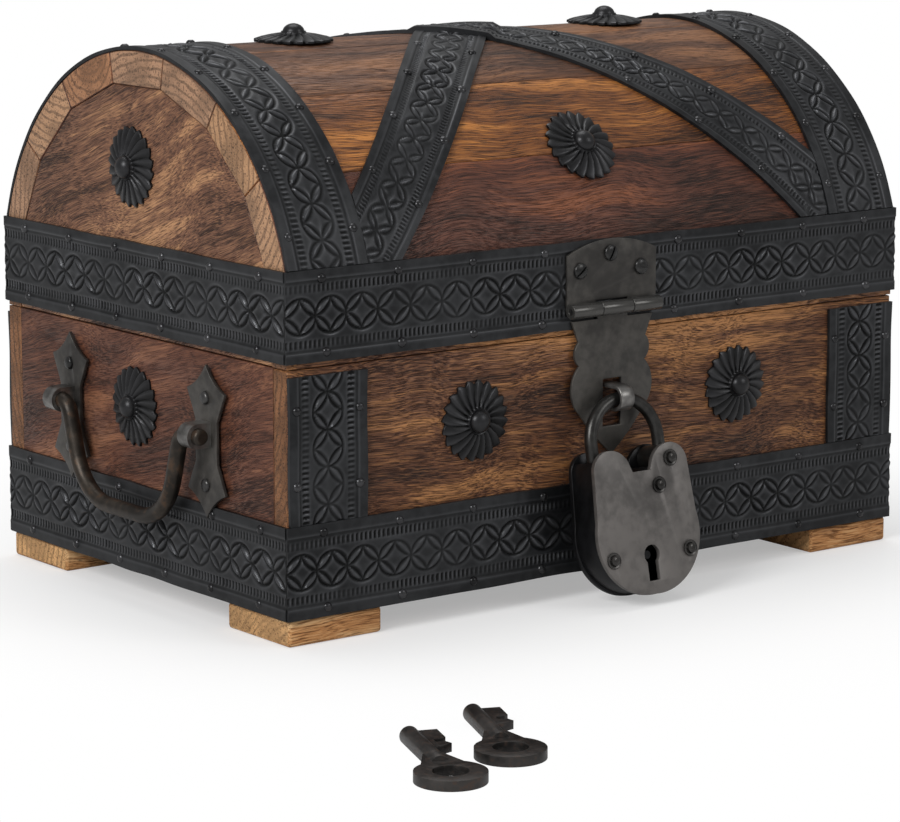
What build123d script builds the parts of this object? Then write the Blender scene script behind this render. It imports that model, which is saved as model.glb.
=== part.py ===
from build123d import *
import math
import os

os.makedirs("parts", exist_ok=True)

# Wooden treasure chest with iron straps, a hasp, a padlock and two keys.
# Millimetres. +X runs along the chest, -Y is the front, +Z is up and z = 0 is the ground.
# Every piece is drawn about the middle of the chest, then moved to the middle of the whole set.

# Chest body
chest_length = 300.0
chest_depth = 195.0
body_rim = 102.5
wall = 9.0
floor_thick = 7.0
foot_height = 10.0
foot_length = 42.0
foot_width = 40.0
seam = 0.4

# Lid: two rails, and staves that begin where the dome's slope meets the rails' outer faces
rail_height = 33.6
dome_start = 15.2
stave_count = 7
stave_thick = 12.0

# Sheet iron straps
sheet = 1.0
lower_band_height = 35.2
lid_band_height = 34.0
lid_band_lift = 1.8
corner_strap_width = 35.0
corner_strap_drop = 2.5
end_strap_width = 36.0
cross_strap_width = 28.5
cross_strap_angle = 42.0
cross_strap_start = 12.0
cross_strap_steps = 12
strap_gap = 0.1

# Rosettes
rosette_radius = 15.75
rosette_rise = 3.6
rosette_rim = 0.9
rosette_petals = 16
rosette_notch = 2.4
rosette_sink = 1.4
rosette_crown_shares = (0.62, 0.86)
knob_radius = 4.4
knob_rise = 3.4
front_rosette_gap = 34.25
body_rosette_drop = 27.5
side_rosette_y = 3.8
lid_side_rosette_lift = 57.0
dome_rosette_gap = 20.25
dome_rosette_angle = 142.0
crown_angle = 90.0

# Screws and rivets
screw_head_radius = 2.9
screw_head_rise = 1.7
screw_head_taper_angle = 30.0
screw_shank_radius = 1.5
screw_length = 7.0
screw_slot = 0.8
screw_slot_depth = 0.9
hole_gap = 0.1
hasp_slot_angles = (80, 58, -72)
handle_slot_angles = (20, 75, 110, 150, 40, 95, 10, 130)
hinge_body_slot_angles = (15, 60, 100, 140)
hinge_lid_slot_angles = (30, 85, 125, 165)

# Side handles
handle_y = 48.0
plate_drop = 33.0
plate_half_height = 29.0
plate_half_width = 12.5
plate_waist = 7.0
plate_hollow_share = 0.42
plate_wing_z = 19.0
plate_waist_z = 8.0
plate_thick = 1.5
plate_screw_z = 16.5
bail_radius = 3.15
bail_axis_lift = 3.0
bail_axis_out = 8.2
bail_gap = 0.1
bail_drop = 36.3
bail_knee_y = 40.0
bail_foot_y = 29.0
bail_knee_radius = 7.0
bail_foot_radius = 24.0
bail_stub = 3.0
eye_width = 7.0
eye_thick = 1.5

# Hasp
hasp_half_width = 22.0
hasp_plate_thick = 1.2
hasp_shoulder_lift = 21.3
hasp_top_lift = 26.4
hasp_axis_lift = 7.5
knuckle_radius = 2.8
knuckle_half = 7.5
knuckle_gap = 0.3
hasp_pin_radius = 1.1
leaf_thick = 1.3
leaf_gap = 0.4
leaf_top_drop = 4.0
leaf_length = 53.2
leaf_half_width = 20.0
leaf_slot_half = 4.5
leaf_slot_lift = 11.0
leaf_slot_length = 18.5
leaf_cusp_shares = ((0.83, 0.842), (0.81, 0.667))
leaf_bulge_shares = ((0.93, 0.757), (1.0, 0.517))
leaf_hip_share = (0.78, 0.31)
leaf_hollow_share = (0.33, 0.11)
hasp_screw_places = ((-15.8, 15.1), (-0.9, 20.9), (14.3, 14.4))

# Staple
staple_width = 6.4
staple_thick = 1.6
staple_inner = 7.0
staple_depth = 6.0

# Rear hinges
hinge_inset = 10.0
hinge_half_width = 20.0
hinge_leaf_height = 24.0
hinge_leaf_thick = 1.5
hinge_barrel_radius = 2.5
hinge_knuckle_half = 7.0
hinge_pin_radius = 1.0
hinge_screw_x = 13.5
hinge_screw_z = 15.0

# Padlock, drawn about the middle of its keyhole: u to the right, v up, w out of its face
lock_lean = 12.0
lock_bar_drop = 7.3
lock_bar_gap = 0.6
lock_plate_thick = 2.0
lock_depth = 16.0
lock_rim_inset = 0.8
lock_rim_wall = 1.6
lock_foot_v = -15.1
lock_foot_shares = (0.55, 0.2)
lock_low = (22.7, -2.5)
lock_belly = (25.2, 7.6)
lock_flank = (24.4, 14.3)
lock_shoulder = (23.1, 33.6)
lobe_outer = (20.8, 39.2)
lobe_top = (15.1, 41.6)
lobe_inner = (9.2, 39.9)
notch_mouth = (5.9, 36.1)
notch_floor = (4.4, 32.2)
shackle_radius = 2.5
shackle_leg_u = 16.6
shackle_arc_v = 44.1
shackle_tip_v = 29.0
shackle_boss_radius = 5.2
pivot_place = (14.7, 35.7)
inner_rivet_place = (7.6, 26.0)
low_rivet_place = (19.1, 0.0)
rivet_radius = 1.5
rivet_head_radius = 2.95
rivet_head_rise = 1.2
rivet_head_taper_angle = 35.0
lobe_opening = 8.4
lobe_opening_height = 12.0
keyhole_radius = 3.8
keyhole_half_slot = 2.7
keyhole_foot_v = -10.0
post_radius = 1.6
post_gap = 1.0
bolt_thick = 4.0
bolt_height = 4.0
bolt_low_v = 21.5
bolt_nose_v = 31.0
bolt_nose_height = 3.0
bolt_head_width = 5.0
bolt_tail_u = 2.0
bolt_travel = 2.0
bolt_gap = 0.4
spring_thick = 0.6
spring_sag = 1.6

# Keys, drawn from the tip of the shank
key_reach = 49.0
bow_radius = 12.0
bow_hole_radius = 6.0
bow_thick = 3.5
bow_neck_shares = (0.8, 0.6)
shank_radius = 3.3
key_bore_radius = 1.8
key_bore_depth = 13.0
neck_length = 9.0
bit_reach = 9.6
bit_thick = 3.0
bit_first = 11.5
bit_notch = 3.2
bit_second = 5.6
bit_notch_reach = 5.0
bit_chamfer = 1.4
key_1_bow = (-209.0, -272.0)
key_1_angle = 69.0
key_2_bow = (-177.0, -262.0)
key_2_angle = 67.0

# One overrun serves every cut
over = 2.0

# Places worked out from the sizes above
half_length = chest_length / 2
half_depth = chest_depth / 2
lid_bottom = body_rim + seam
lid_band_bottom = lid_bottom + lid_band_lift
lid_band_top = lid_band_bottom + lid_band_height
lower_band_top = foot_height + lower_band_height
dome_radius = half_depth / math.cos(math.radians(dome_start))
dome_centre_z = lid_bottom + rail_height - dome_radius * math.sin(math.radians(dome_start))
dome_reach = dome_radius * 2
inner_radius = dome_radius - stave_thick
stave_turn = (180.0 - 2 * dome_start) / stave_count
band_face = half_depth + sheet
corner_strap_top = body_rim - corner_strap_drop
front_rosette_x = half_length - corner_strap_width - front_rosette_gap - rosette_radius
dome_rosette_x = half_length - end_strap_width - dome_rosette_gap - rosette_radius
body_rosette_z = body_rim - body_rosette_drop
lid_side_rosette_z = dome_centre_z + lid_side_rosette_lift
plate_centre_z = body_rim - plate_drop
bail_axis_z = plate_centre_z + bail_axis_lift
hasp_axis_z = lid_band_bottom + hasp_axis_lift
hasp_plate_shoulder = hasp_axis_z + hasp_shoulder_lift
hasp_plate_top = hasp_axis_z + hasp_top_lift
leaf_top_z = hasp_axis_z - leaf_top_drop
leaf_tip_z = leaf_top_z - leaf_length
leaf_slot_low = leaf_tip_z + leaf_slot_lift
leaf_slot_high = leaf_slot_low + leaf_slot_length
hinge_x = half_length - corner_strap_width - hinge_inset - hinge_half_width
lock_bar_z = leaf_slot_high - lock_bar_drop
bail_axis_x = half_length + bail_axis_out
eye_inner_radius = bail_radius + bail_gap
eye_outer_radius = eye_inner_radius + eye_thick
leaf_back = band_face + leaf_gap
leaf_face = leaf_back + leaf_thick
hasp_axis_y = band_face + knuckle_gap + knuckle_radius
hinge_axis_y = band_face + knuckle_gap + hinge_barrel_radius
hinge_axis_z = body_rim + seam / 2
bar_centre_y = leaf_face + lock_bar_gap + shackle_radius + lock_bar_gap * 2
staple_low = lock_bar_z - shackle_radius - lock_bar_gap
lock_half = lock_depth / 2
shackle_top_v = shackle_arc_v + shackle_leg_u

# Middle of the whole set on the ground
set_left = key_1_bow[0] - bow_radius
set_right = bail_axis_x + eye_outer_radius
set_front = key_1_bow[1] - bow_radius
set_back = hinge_axis_y + hinge_barrel_radius
set_origin = Location((-(set_left + set_right) / 2, -(set_front + set_back) / 2, 0))


def save(piece, name):
    """Label one finished piece, move it to the middle of the set and write its file."""
    piece.part.label = name
    moved = piece.part.moved(set_origin)
    moved.label = name
    export_step(moved, "parts/" + name + ".step")


def block(x0, x1, y0, y1, z0, z1):
    """A plain sawn or cut block between two corners."""
    with BuildPart() as piece:
        with BuildSketch(Plane.XY.offset(z0)):
            with Locations(((x0 + x1) / 2, (y0 + y1) / 2)):
                Rectangle(x1 - x0, y1 - y0)
        extrude(amount=z1 - z0)
    return piece


def wall_plane(x, y, z, outward):
    """A plane on a wall, its own +Z pointing out of the wall and its +Y up."""
    across = Vector(0, 0, 1).cross(Vector(*outward))
    return Plane(origin=(x, y, z), x_dir=across, z_dir=outward)


def dome_plane(x, angle):
    """A plane on the dome, its +Z pointing out of the wood. The angle is taken from the back."""
    turn = math.radians(angle)
    outward = (0, math.cos(turn), math.sin(turn))
    place = (x, dome_radius * outward[1], dome_centre_z + dome_radius * outward[2])
    return Plane(origin=place, x_dir=(1, 0, 0), z_dir=outward)


def dome_point(radius, angle):
    """A point of the dome's section in the YZ plane."""
    turn = math.radians(angle)
    return (radius * math.cos(turn), dome_centre_z + radius * math.sin(turn))


def screw_holes(planes):
    """The holes that the screws on these planes need in the pieces they pass through."""
    with BuildPart() as cutter:
        for plane in planes:
            with BuildSketch(plane.offset(-screw_length - hole_gap)):
                Circle(screw_shank_radius + hole_gap)
            extrude(amount=screw_length + hole_gap + over)
    return cutter.part


def screws(planes, slots):
    """Slotted round-head screws, one on each plane, each slot turned by its own angle."""
    with BuildPart() as group:
        for plane, slot in zip(planes, slots):
            with BuildSketch(plane.offset(-screw_length)):
                Circle(screw_shank_radius)
            extrude(amount=screw_length)
            with BuildSketch(plane):
                Circle(screw_head_radius)
            extrude(amount=screw_head_rise, taper=screw_head_taper_angle)
            with BuildSketch(plane.offset(screw_head_rise - screw_slot_depth)):
                Rectangle(screw_head_radius * 2, screw_slot, rotation=slot)
            extrude(amount=over, mode=Mode.SUBTRACT)
    return group


def rosette(on_dome):
    """A pressed iron flower with a nail's head in its middle, fluted between its petals."""
    sink = rosette_sink if on_dome else 0
    cap_radius = (knob_radius ** 2 + knob_rise ** 2) / (2 * knob_rise)
    cap_turn = math.asin(knob_radius / cap_radius) / 2
    cap_middle_z = rosette_rise + knob_rise - cap_radius * (1 - math.cos(cap_turn))
    with BuildPart() as flower:
        with BuildSketch(Plane.XZ):
            with BuildLine():
                Polyline((0, -sink), (rosette_radius, -sink), (rosette_radius, rosette_rim))
                ThreePointArc((rosette_radius, rosette_rim),
                              (rosette_radius * rosette_crown_shares[0], rosette_rise * rosette_crown_shares[1]),
                              (knob_radius, rosette_rise))
                ThreePointArc((knob_radius, rosette_rise), (cap_radius * math.sin(cap_turn), cap_middle_z),
                              (0, rosette_rise + knob_rise))
                Line((0, rosette_rise + knob_rise), (0, -sink))
            make_face()
        revolve(axis=Axis.Z)
        with BuildSketch(Plane.XY.offset(-sink - over)):
            Circle(rosette_radius * 2)
            with BuildLine():
                petal_tips = rosette_petals * 2
                rim_points = []
                for k in range(petal_tips):
                    reach = rosette_radius if k % 2 else rosette_radius - rosette_notch
                    turn = 2 * math.pi * k / petal_tips
                    rim_points.append((reach * math.cos(turn), reach * math.sin(turn)))
                Polyline(*rim_points, close=True)
            make_face(mode=Mode.SUBTRACT)
        extrude(amount=sink + rosette_rise + knob_rise + over * 2, mode=Mode.SUBTRACT)
    return flower


def rosettes(flat_planes, dome_planes):
    """Rosettes on the flat boards, and others whose backs follow the dome."""
    with BuildPart() as group:
        if flat_planes:
            with Locations(*flat_planes):
                add(rosette(False).part)
        if dome_planes:
            with Locations(*dome_planes):
                add(rosette(True).part)
            with BuildSketch(Plane.YZ.offset(-half_length)):
                with Locations((0, dome_centre_z)):
                    Circle(dome_radius + strap_gap)
            extrude(amount=chest_length, mode=Mode.SUBTRACT)
    return group


def dome_shell(inner, outer, x0, x1, y0, y1):
    """A sheet bent over the dome, cut off at the top edges of the lid's front and back straps."""
    with BuildPart() as shell:
        with BuildSketch(Plane.YZ.offset(x0)):
            with Locations((0, dome_centre_z)):
                Circle(outer)
                Circle(inner, mode=Mode.SUBTRACT)
            with Locations((0, lid_band_top - outer)):
                Rectangle(outer * 4, outer * 2, mode=Mode.SUBTRACT)
            with Locations(((y0 + y1) / 2, dome_centre_z)):
                Rectangle(y1 - y0, outer * 4, mode=Mode.INTERSECT)
        extrude(amount=x1 - x0)
    return shell


def cross_outline(side, margin):
    """Seen from above, a straight strap laid slantwise over the dome: its two edges are sine curves."""
    half = (cross_strap_width / 2 + margin) / math.cos(math.radians(cross_strap_angle))
    slope = side * math.tan(math.radians(cross_strap_angle))
    reach = dome_radius + sheet
    with BuildSketch() as outline:
        with BuildLine():
            left = []
            right = []
            for step in range(cross_strap_steps + 1):
                part_way = step / cross_strap_steps
                turn = math.radians(cross_strap_start + (180.0 - 2 * cross_strap_start) * part_way)
                across = slope * reach * (turn - math.pi / 2)
                left.append((across - half, reach * math.cos(turn)))
                right.append((across + half, reach * math.cos(turn)))
            Spline(*left)
            Line(left[-1], right[-1])
            Spline(*right)
            Line(right[0], left[0])
        make_face()
    return outline.sketch


def cross_strap(side, over_the_other):
    """A strap rolled slantwise over the dome. The upper one steps over the lower where they cross."""
    edge = half_length - end_strap_width - strap_gap
    low = dome_radius + strap_gap
    high = low + sheet
    above_all = dome_centre_z + dome_reach
    with BuildPart() as step:
        add(dome_shell(high, high + strap_gap + sheet, -edge, edge, -dome_reach, dome_reach).part)
        extrude(cross_outline(-side, sheet * 2), amount=above_all, mode=Mode.INTERSECT)
    with BuildPart() as room_below:
        add(dome_shell(low, high + strap_gap, -edge, edge, -dome_reach, dome_reach).part)
        extrude(cross_outline(-side, strap_gap), amount=above_all, mode=Mode.INTERSECT)
    with BuildPart() as strap:
        add(dome_shell(low, high, -edge, edge, -dome_reach, dome_reach).part)
        if over_the_other:
            add(step.part)
            add(room_below.part, mode=Mode.SUBTRACT)
        extrude(cross_outline(side, 0), amount=above_all, mode=Mode.INTERSECT)
    return strap


# Body boards
inner_x = half_length - wall
inner_y = half_depth - wall
hasp_screw_planes = [
    wall_plane(x, -band_face - hasp_plate_thick, hasp_axis_z + lift, (0, -1, 0))
    for x, lift in hasp_screw_places
]
plate_face = half_length + sheet + plate_thick
handle_screw_planes = [
    wall_plane(side * plate_face, y, plate_centre_z + lift, (side, 0, 0))
    for side in (-1, 1)
    for y in (-handle_y, handle_y)
    for lift in (-plate_screw_z, plate_screw_z)
]
hinge_face = half_depth + hinge_leaf_thick
hinge_body_screw_planes = [
    wall_plane(side * hinge_x + step, hinge_face, hinge_axis_z - hinge_screw_z, (0, 1, 0))
    for side in (-1, 1)
    for step in (-hinge_screw_x, hinge_screw_x)
]
hinge_lid_screw_planes = [
    wall_plane(side * hinge_x + step, band_face + hinge_leaf_thick, hinge_axis_z + hinge_screw_z, (0, 1, 0))
    for side in (-1, 1)
    for step in (-hinge_screw_x, hinge_screw_x)
]
hasp_holes = screw_holes(hasp_screw_planes)
handle_holes = screw_holes(handle_screw_planes)
hinge_body_holes = screw_holes(hinge_body_screw_planes)
hinge_lid_holes = screw_holes(hinge_lid_screw_planes)

with BuildPart() as bottom_board:
    add(block(-inner_x, inner_x, -inner_y, inner_y, foot_height, foot_height + floor_thick).part)
save(bottom_board, "bottom_board")

with BuildPart() as front_board:
    add(block(-half_length, half_length, -half_depth, -inner_y, foot_height, body_rim).part)
    for height in (staple_low - staple_thick, staple_low + staple_inner):
        with BuildSketch(Plane.XY.offset(height - hole_gap)):
            with Locations((0, -half_depth)):
                Rectangle(staple_width + 2 * hole_gap, 2 * (staple_depth + hole_gap))
        extrude(amount=staple_thick + 2 * hole_gap, mode=Mode.SUBTRACT)
save(front_board, "front_board")

with BuildPart() as back_board:
    add(block(-half_length, half_length, inner_y, half_depth, foot_height, body_rim).part)
    add(hinge_body_holes, mode=Mode.SUBTRACT)
save(back_board, "back_board")

for side_name, side in (("left", -1), ("right", 1)):
    x_low, x_high = sorted((side * inner_x, side * half_length))
    with BuildPart() as side_board:
        add(block(x_low, x_high, -inner_y, inner_y, foot_height, body_rim).part)
        add(handle_holes, mode=Mode.SUBTRACT)
    save(side_board, side_name + "_board")

with BuildPart() as feet:
    with BuildSketch(Plane.XY):
        with GridLocations(chest_length - foot_length, chest_depth - foot_width, 2, 2):
            Rectangle(foot_length, foot_width)
    extrude(amount=foot_height)
save(feet, "feet")

# Straps of the body
for name, y_low, y_high in (("front", -band_face, -half_depth), ("back", half_depth, band_face)):
    with BuildPart() as lower_band:
        add(block(-half_length - sheet, half_length + sheet, y_low, y_high, foot_height, lower_band_top).part)
    save(lower_band, "lower_band_" + name)
    strap_middle = half_length - corner_strap_width / 2
    with BuildPart() as corner_straps:
        with BuildSketch(Plane.XY.offset(lower_band_top)):
            with Locations((-strap_middle, (y_low + y_high) / 2), (strap_middle, (y_low + y_high) / 2)):
                Rectangle(corner_strap_width, sheet)
        extrude(amount=corner_strap_top - lower_band_top)
    save(corner_straps, "corner_straps_" + name)
    with BuildPart() as lid_band:
        add(block(-half_length - sheet, half_length + sheet, y_low, y_high, lid_band_bottom, lid_band_top).part)
        add(hasp_holes if name == "front" else hinge_lid_holes, mode=Mode.SUBTRACT)
    save(lid_band, "lid_band_" + name)

for side_name, side in (("left", -1), ("right", 1)):
    x_low, x_high = sorted((side * half_length, side * (half_length + sheet)))
    with BuildPart() as side_lower_band:
        add(block(x_low, x_high, -half_depth, half_depth, foot_height, lower_band_top).part)
        add(handle_holes, mode=Mode.SUBTRACT)
    save(side_lower_band, "lower_band_" + side_name)
    with BuildPart() as side_lid_band:
        add(block(x_low, x_high, -half_depth, half_depth, lid_band_bottom, lid_band_top).part)
    save(side_lid_band, "lid_band_" + side_name)

# Lid rails, ends and staves
rail_low = dome_point(half_depth / math.cos(math.radians(dome_start)), dome_start)
rail_high = dome_point(inner_y / math.cos(math.radians(dome_start)), dome_start)
for name, side in (("front", -1), ("back", 1)):
    with BuildPart() as lid_rail:
        with BuildSketch(Plane.YZ.offset(-half_length)):
            with BuildLine():
                Polyline((side * half_depth, lid_bottom), (side * half_depth, rail_low[1]),
                         (side * inner_y, rail_high[1]), (side * inner_y, lid_bottom), close=True)
            make_face()
        extrude(amount=chest_length)
        add(hasp_holes if name == "front" else hinge_lid_holes, mode=Mode.SUBTRACT)
    save(lid_rail, "lid_rail_" + name)

for side_name, start in (("left", -half_length), ("right", inner_x)):
    with BuildPart() as lid_end:
        with BuildSketch(Plane.YZ.offset(start)):
            with BuildLine():
                corners = [(inner_y, lid_bottom), (inner_y, rail_high[1])]
                corners += [dome_point(inner_radius, dome_start + stave_turn * k) for k in range(stave_count + 1)]
                corners += [(-inner_y, rail_high[1]), (-inner_y, lid_bottom)]
                Polyline(*corners, close=True)
            make_face()
        extrude(amount=wall)
    save(lid_end, "lid_end_" + side_name)

for k in range(stave_count):
    first = dome_start + stave_turn * k
    last = first + stave_turn
    with BuildPart() as stave:
        with BuildSketch(Plane.YZ.offset(-half_length)):
            with BuildLine():
                Polyline(dome_point(dome_radius, last), dome_point(inner_radius, last),
                         dome_point(inner_radius, first), dome_point(dome_radius, first))
                ThreePointArc(dome_point(dome_radius, first), dome_point(dome_radius, (first + last) / 2),
                              dome_point(dome_radius, last))
            make_face()
        extrude(amount=chest_length)
    save(stave, "stave_" + str(k + 1))

# Straps of the dome
for side_name, start in (("left", -half_length), ("right", half_length - end_strap_width)):
    end_strap = dome_shell(dome_radius + strap_gap, dome_radius + strap_gap + sheet,
                           start, start + end_strap_width, -dome_reach, dome_reach)
    save(end_strap, "end_strap_" + side_name)
save(cross_strap(-1, False), "cross_strap_lower")
save(cross_strap(1, True), "cross_strap_upper")

# Rosettes
body_flowers = rosettes(
    [wall_plane(-front_rosette_x, -half_depth, body_rosette_z, (0, -1, 0)),
     wall_plane(front_rosette_x, -half_depth, body_rosette_z, (0, -1, 0)),
     wall_plane(-half_length, side_rosette_y, body_rosette_z, (-1, 0, 0)),
     wall_plane(half_length, side_rosette_y, body_rosette_z, (1, 0, 0))], [])
save(body_flowers, "rosettes_body")
lid_flowers = rosettes(
    [wall_plane(-half_length, side_rosette_y, lid_side_rosette_z, (-1, 0, 0)),
     wall_plane(half_length, side_rosette_y, lid_side_rosette_z, (1, 0, 0))],
    [dome_plane(-dome_rosette_x, crown_angle), dome_plane(dome_rosette_x, crown_angle),
     dome_plane(0, dome_rosette_angle), dome_plane(0, 2 * crown_angle - dome_rosette_angle)])
save(lid_flowers, "rosettes_lid")

# Side handles: plates, eyes and bails
with BuildPart() as handle_plates:
    for side in (-1, 1):
        for y in (-handle_y, handle_y):
            with BuildSketch(wall_plane(side * (half_length + sheet), y, plate_centre_z, (side, 0, 0))):
                with BuildLine():
                    hollow = (plate_half_width * plate_hollow_share, (plate_half_height + plate_wing_z) / 2 - sheet)
                    ThreePointArc((0, plate_half_height), hollow, (plate_half_width, plate_wing_z))
                    Polyline((plate_half_width, plate_wing_z), (plate_waist, plate_waist_z),
                             (plate_waist, -plate_waist_z), (plate_half_width, -plate_wing_z))
                    ThreePointArc((plate_half_width, -plate_wing_z), (hollow[0], -hollow[1]), (0, -plate_half_height))
                    Line((0, -plate_half_height), (0, plate_half_height))
                make_face()
                mirror(about=Plane.YZ)
            extrude(amount=plate_thick)
    add(handle_holes, mode=Mode.SUBTRACT)
save(handle_plates, "handle_plates")

with BuildPart() as handle_eyes:
    for side in (-1, 1):
        for y in (-handle_y, handle_y):
            with BuildSketch(Plane.XZ.offset(-y - eye_width / 2)):
                with Locations((side * bail_axis_x, bail_axis_z)):
                    Circle(eye_outer_radius)
                with Locations((side * (plate_face + bail_axis_x) / 2, bail_axis_z)):
                    Rectangle(bail_axis_x - plate_face, 2 * eye_outer_radius)
                with Locations((side * bail_axis_x, bail_axis_z)):
                    Circle(eye_inner_radius, mode=Mode.SUBTRACT)
            extrude(amount=eye_width)
save(handle_eyes, "handle_eyes")

for side_name, side in (("left", -1), ("right", 1)):
    with BuildPart() as bail:
        with BuildLine(Plane.YZ.offset(side * bail_axis_x)):
            stub_end = handle_y + eye_width / 2 + bail_stub
            foot_z = bail_axis_z - bail_drop
            FilletPolyline((-stub_end, bail_axis_z), (-bail_knee_y, bail_axis_z), (-bail_foot_y, foot_z),
                           (bail_foot_y, foot_z), (bail_knee_y, bail_axis_z), (stub_end, bail_axis_z),
                           radius=(bail_knee_radius, bail_foot_radius, bail_foot_radius, bail_knee_radius))
        with BuildSketch(Plane(origin=(side * bail_axis_x, -stub_end, bail_axis_z), z_dir=(0, 1, 0))):
            Circle(bail_radius)
        sweep()
        fillet(bail.edges().filter_by(GeomType.CIRCLE).sort_by(Axis.Y)[0], radius=bail_radius / 2)
        fillet(bail.edges().filter_by(GeomType.CIRCLE).sort_by(Axis.Y)[-1], radius=bail_radius / 2)
    save(bail, "bail_" + side_name)

# Staple: a strip bent into a loop whose two legs go into the front board
loop_middle_z = staple_low + staple_inner / 2
loop_middle_y = -bar_centre_y - lock_bar_gap
with BuildPart() as staple:
    with BuildSketch(Plane.YZ.offset(-staple_width / 2)):
        with Locations((loop_middle_y, loop_middle_z)):
            Circle(staple_inner / 2 + staple_thick)
        with Locations(((loop_middle_y - half_depth + staple_depth) / 2, loop_middle_z)):
            Rectangle(staple_depth - half_depth - loop_middle_y, staple_inner + 2 * staple_thick)
        with Locations((loop_middle_y, loop_middle_z)):
            Circle(staple_inner / 2, mode=Mode.SUBTRACT)
        with Locations(((loop_middle_y - half_depth + staple_depth) / 2, loop_middle_z)):
            Rectangle(staple_depth - half_depth - loop_middle_y, staple_inner, mode=Mode.SUBTRACT)
    extrude(amount=staple_width)
save(staple, "staple")

# Hasp: plate and pin on the lid, slotted leaf swinging on the pin
with BuildPart() as hasp_plate:
    with BuildSketch(Plane.XZ.offset(band_face)):
        with BuildLine():
            Polyline((-hasp_half_width, hasp_plate_shoulder), (-hasp_half_width, hasp_axis_z),
                     (hasp_half_width, hasp_axis_z), (hasp_half_width, hasp_plate_shoulder))
            ThreePointArc((-hasp_half_width, hasp_plate_shoulder), (0, hasp_plate_top),
                          (hasp_half_width, hasp_plate_shoulder))
        make_face()
    extrude(amount=hasp_plate_thick)
    with BuildSketch(Plane.YZ.offset(-hasp_half_width)):
        with Locations((-hasp_axis_y, hasp_axis_z)):
            Circle(knuckle_radius)
    extrude(amount=2 * hasp_half_width)
    clear_half = knuckle_half + knuckle_gap
    with BuildSketch(Plane.YZ.offset(-clear_half)):
        with Locations((-hasp_axis_y, hasp_axis_z)):
            Rectangle(4 * knuckle_radius, 2 * (knuckle_radius + knuckle_gap))
    extrude(amount=2 * clear_half, mode=Mode.SUBTRACT)
    with BuildSketch(Plane.YZ.offset(-hasp_half_width)):
        with Locations((-hasp_axis_y, hasp_axis_z)):
            Circle(hasp_pin_radius + strap_gap / 2)
    extrude(amount=2 * hasp_half_width, mode=Mode.SUBTRACT)
    add(hasp_holes, mode=Mode.SUBTRACT)
save(hasp_plate, "hasp_plate")

with BuildPart() as hasp_pin:
    with BuildSketch(Plane.YZ.offset(-hasp_half_width)):
        with Locations((-hasp_axis_y, hasp_axis_z)):
            Circle(hasp_pin_radius)
    extrude(amount=2 * hasp_half_width)
save(hasp_pin, "hasp_pin")


def leaf_place(share):
    """A point of the leaf's outline: shares of its half width and of its height above the tip."""
    return (share[0] * leaf_half_width, leaf_tip_z + share[1] * (leaf_top_z - leaf_tip_z))


with BuildPart() as hasp_leaf:
    with BuildSketch(Plane.XZ.offset(leaf_back)):
        with BuildLine():
            upper_cusp = leaf_place(leaf_cusp_shares[0])
            lower_cusp = leaf_place(leaf_cusp_shares[1])
            hip = leaf_place(leaf_hip_share)
            Polyline((0, leaf_top_z), (leaf_half_width, leaf_top_z), upper_cusp)
            ThreePointArc(upper_cusp, leaf_place(leaf_bulge_shares[0]), lower_cusp)
            ThreePointArc(lower_cusp, leaf_place(leaf_bulge_shares[1]), hip)
            ThreePointArc(hip, leaf_place(leaf_hollow_share), (0, leaf_tip_z))
            Line((0, leaf_tip_z), (0, leaf_top_z))
        make_face()
        mirror(about=Plane.YZ)
        with Locations((0, (leaf_top_z + hasp_axis_z) / 2)):
            Rectangle(2 * knuckle_half, hasp_axis_z - leaf_top_z)
        with Locations((0, (leaf_slot_low + leaf_slot_high) / 2)):
            Rectangle(2 * leaf_slot_half, leaf_slot_high - leaf_slot_low, mode=Mode.SUBTRACT)
    extrude(amount=leaf_thick)
    with BuildSketch(Plane.YZ.offset(-knuckle_half)):
        with Locations((-hasp_axis_y, hasp_axis_z)):
            Circle(knuckle_radius)
    extrude(amount=2 * knuckle_half)
    with BuildSketch(Plane.YZ.offset(-knuckle_half)):
        with Locations((-hasp_axis_y, hasp_axis_z)):
            Circle(hasp_pin_radius + strap_gap / 2)
    extrude(amount=2 * knuckle_half, mode=Mode.SUBTRACT)
save(hasp_leaf, "hasp_leaf")

# Rear hinges: two butt hinges, body knuckles outside and lid knuckle between them
knuckle_start = hinge_knuckle_half + knuckle_gap
with BuildPart() as hinge_leaves_body:
    for side in (-1, 1):
        with BuildSketch(Plane.XZ.offset(-half_depth)):
            with Locations((side * hinge_x, hinge_axis_z - hinge_leaf_height / 2)):
                Rectangle(2 * hinge_half_width, hinge_leaf_height)
            with Locations((side * hinge_x, hinge_axis_z)):
                Rectangle(2 * knuckle_start, 2 * (hinge_barrel_radius + knuckle_gap), mode=Mode.SUBTRACT)
        extrude(amount=-hinge_leaf_thick)
        for start in (-hinge_half_width, knuckle_start):
            with BuildSketch(Plane.YZ.offset(side * hinge_x + start)):
                with Locations((hinge_axis_y, hinge_axis_z)):
                    Circle(hinge_barrel_radius)
                with Locations(((half_depth + hinge_axis_y) / 2, hinge_axis_z - hinge_barrel_radius / 2)):
                    Rectangle(hinge_axis_y - half_depth, hinge_barrel_radius)
                with Locations((hinge_axis_y, hinge_axis_z)):
                    Circle(hinge_pin_radius + strap_gap / 2, mode=Mode.SUBTRACT)
            extrude(amount=hinge_half_width - knuckle_start)
    add(hinge_body_holes, mode=Mode.SUBTRACT)
save(hinge_leaves_body, "hinge_leaves_body")

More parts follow.
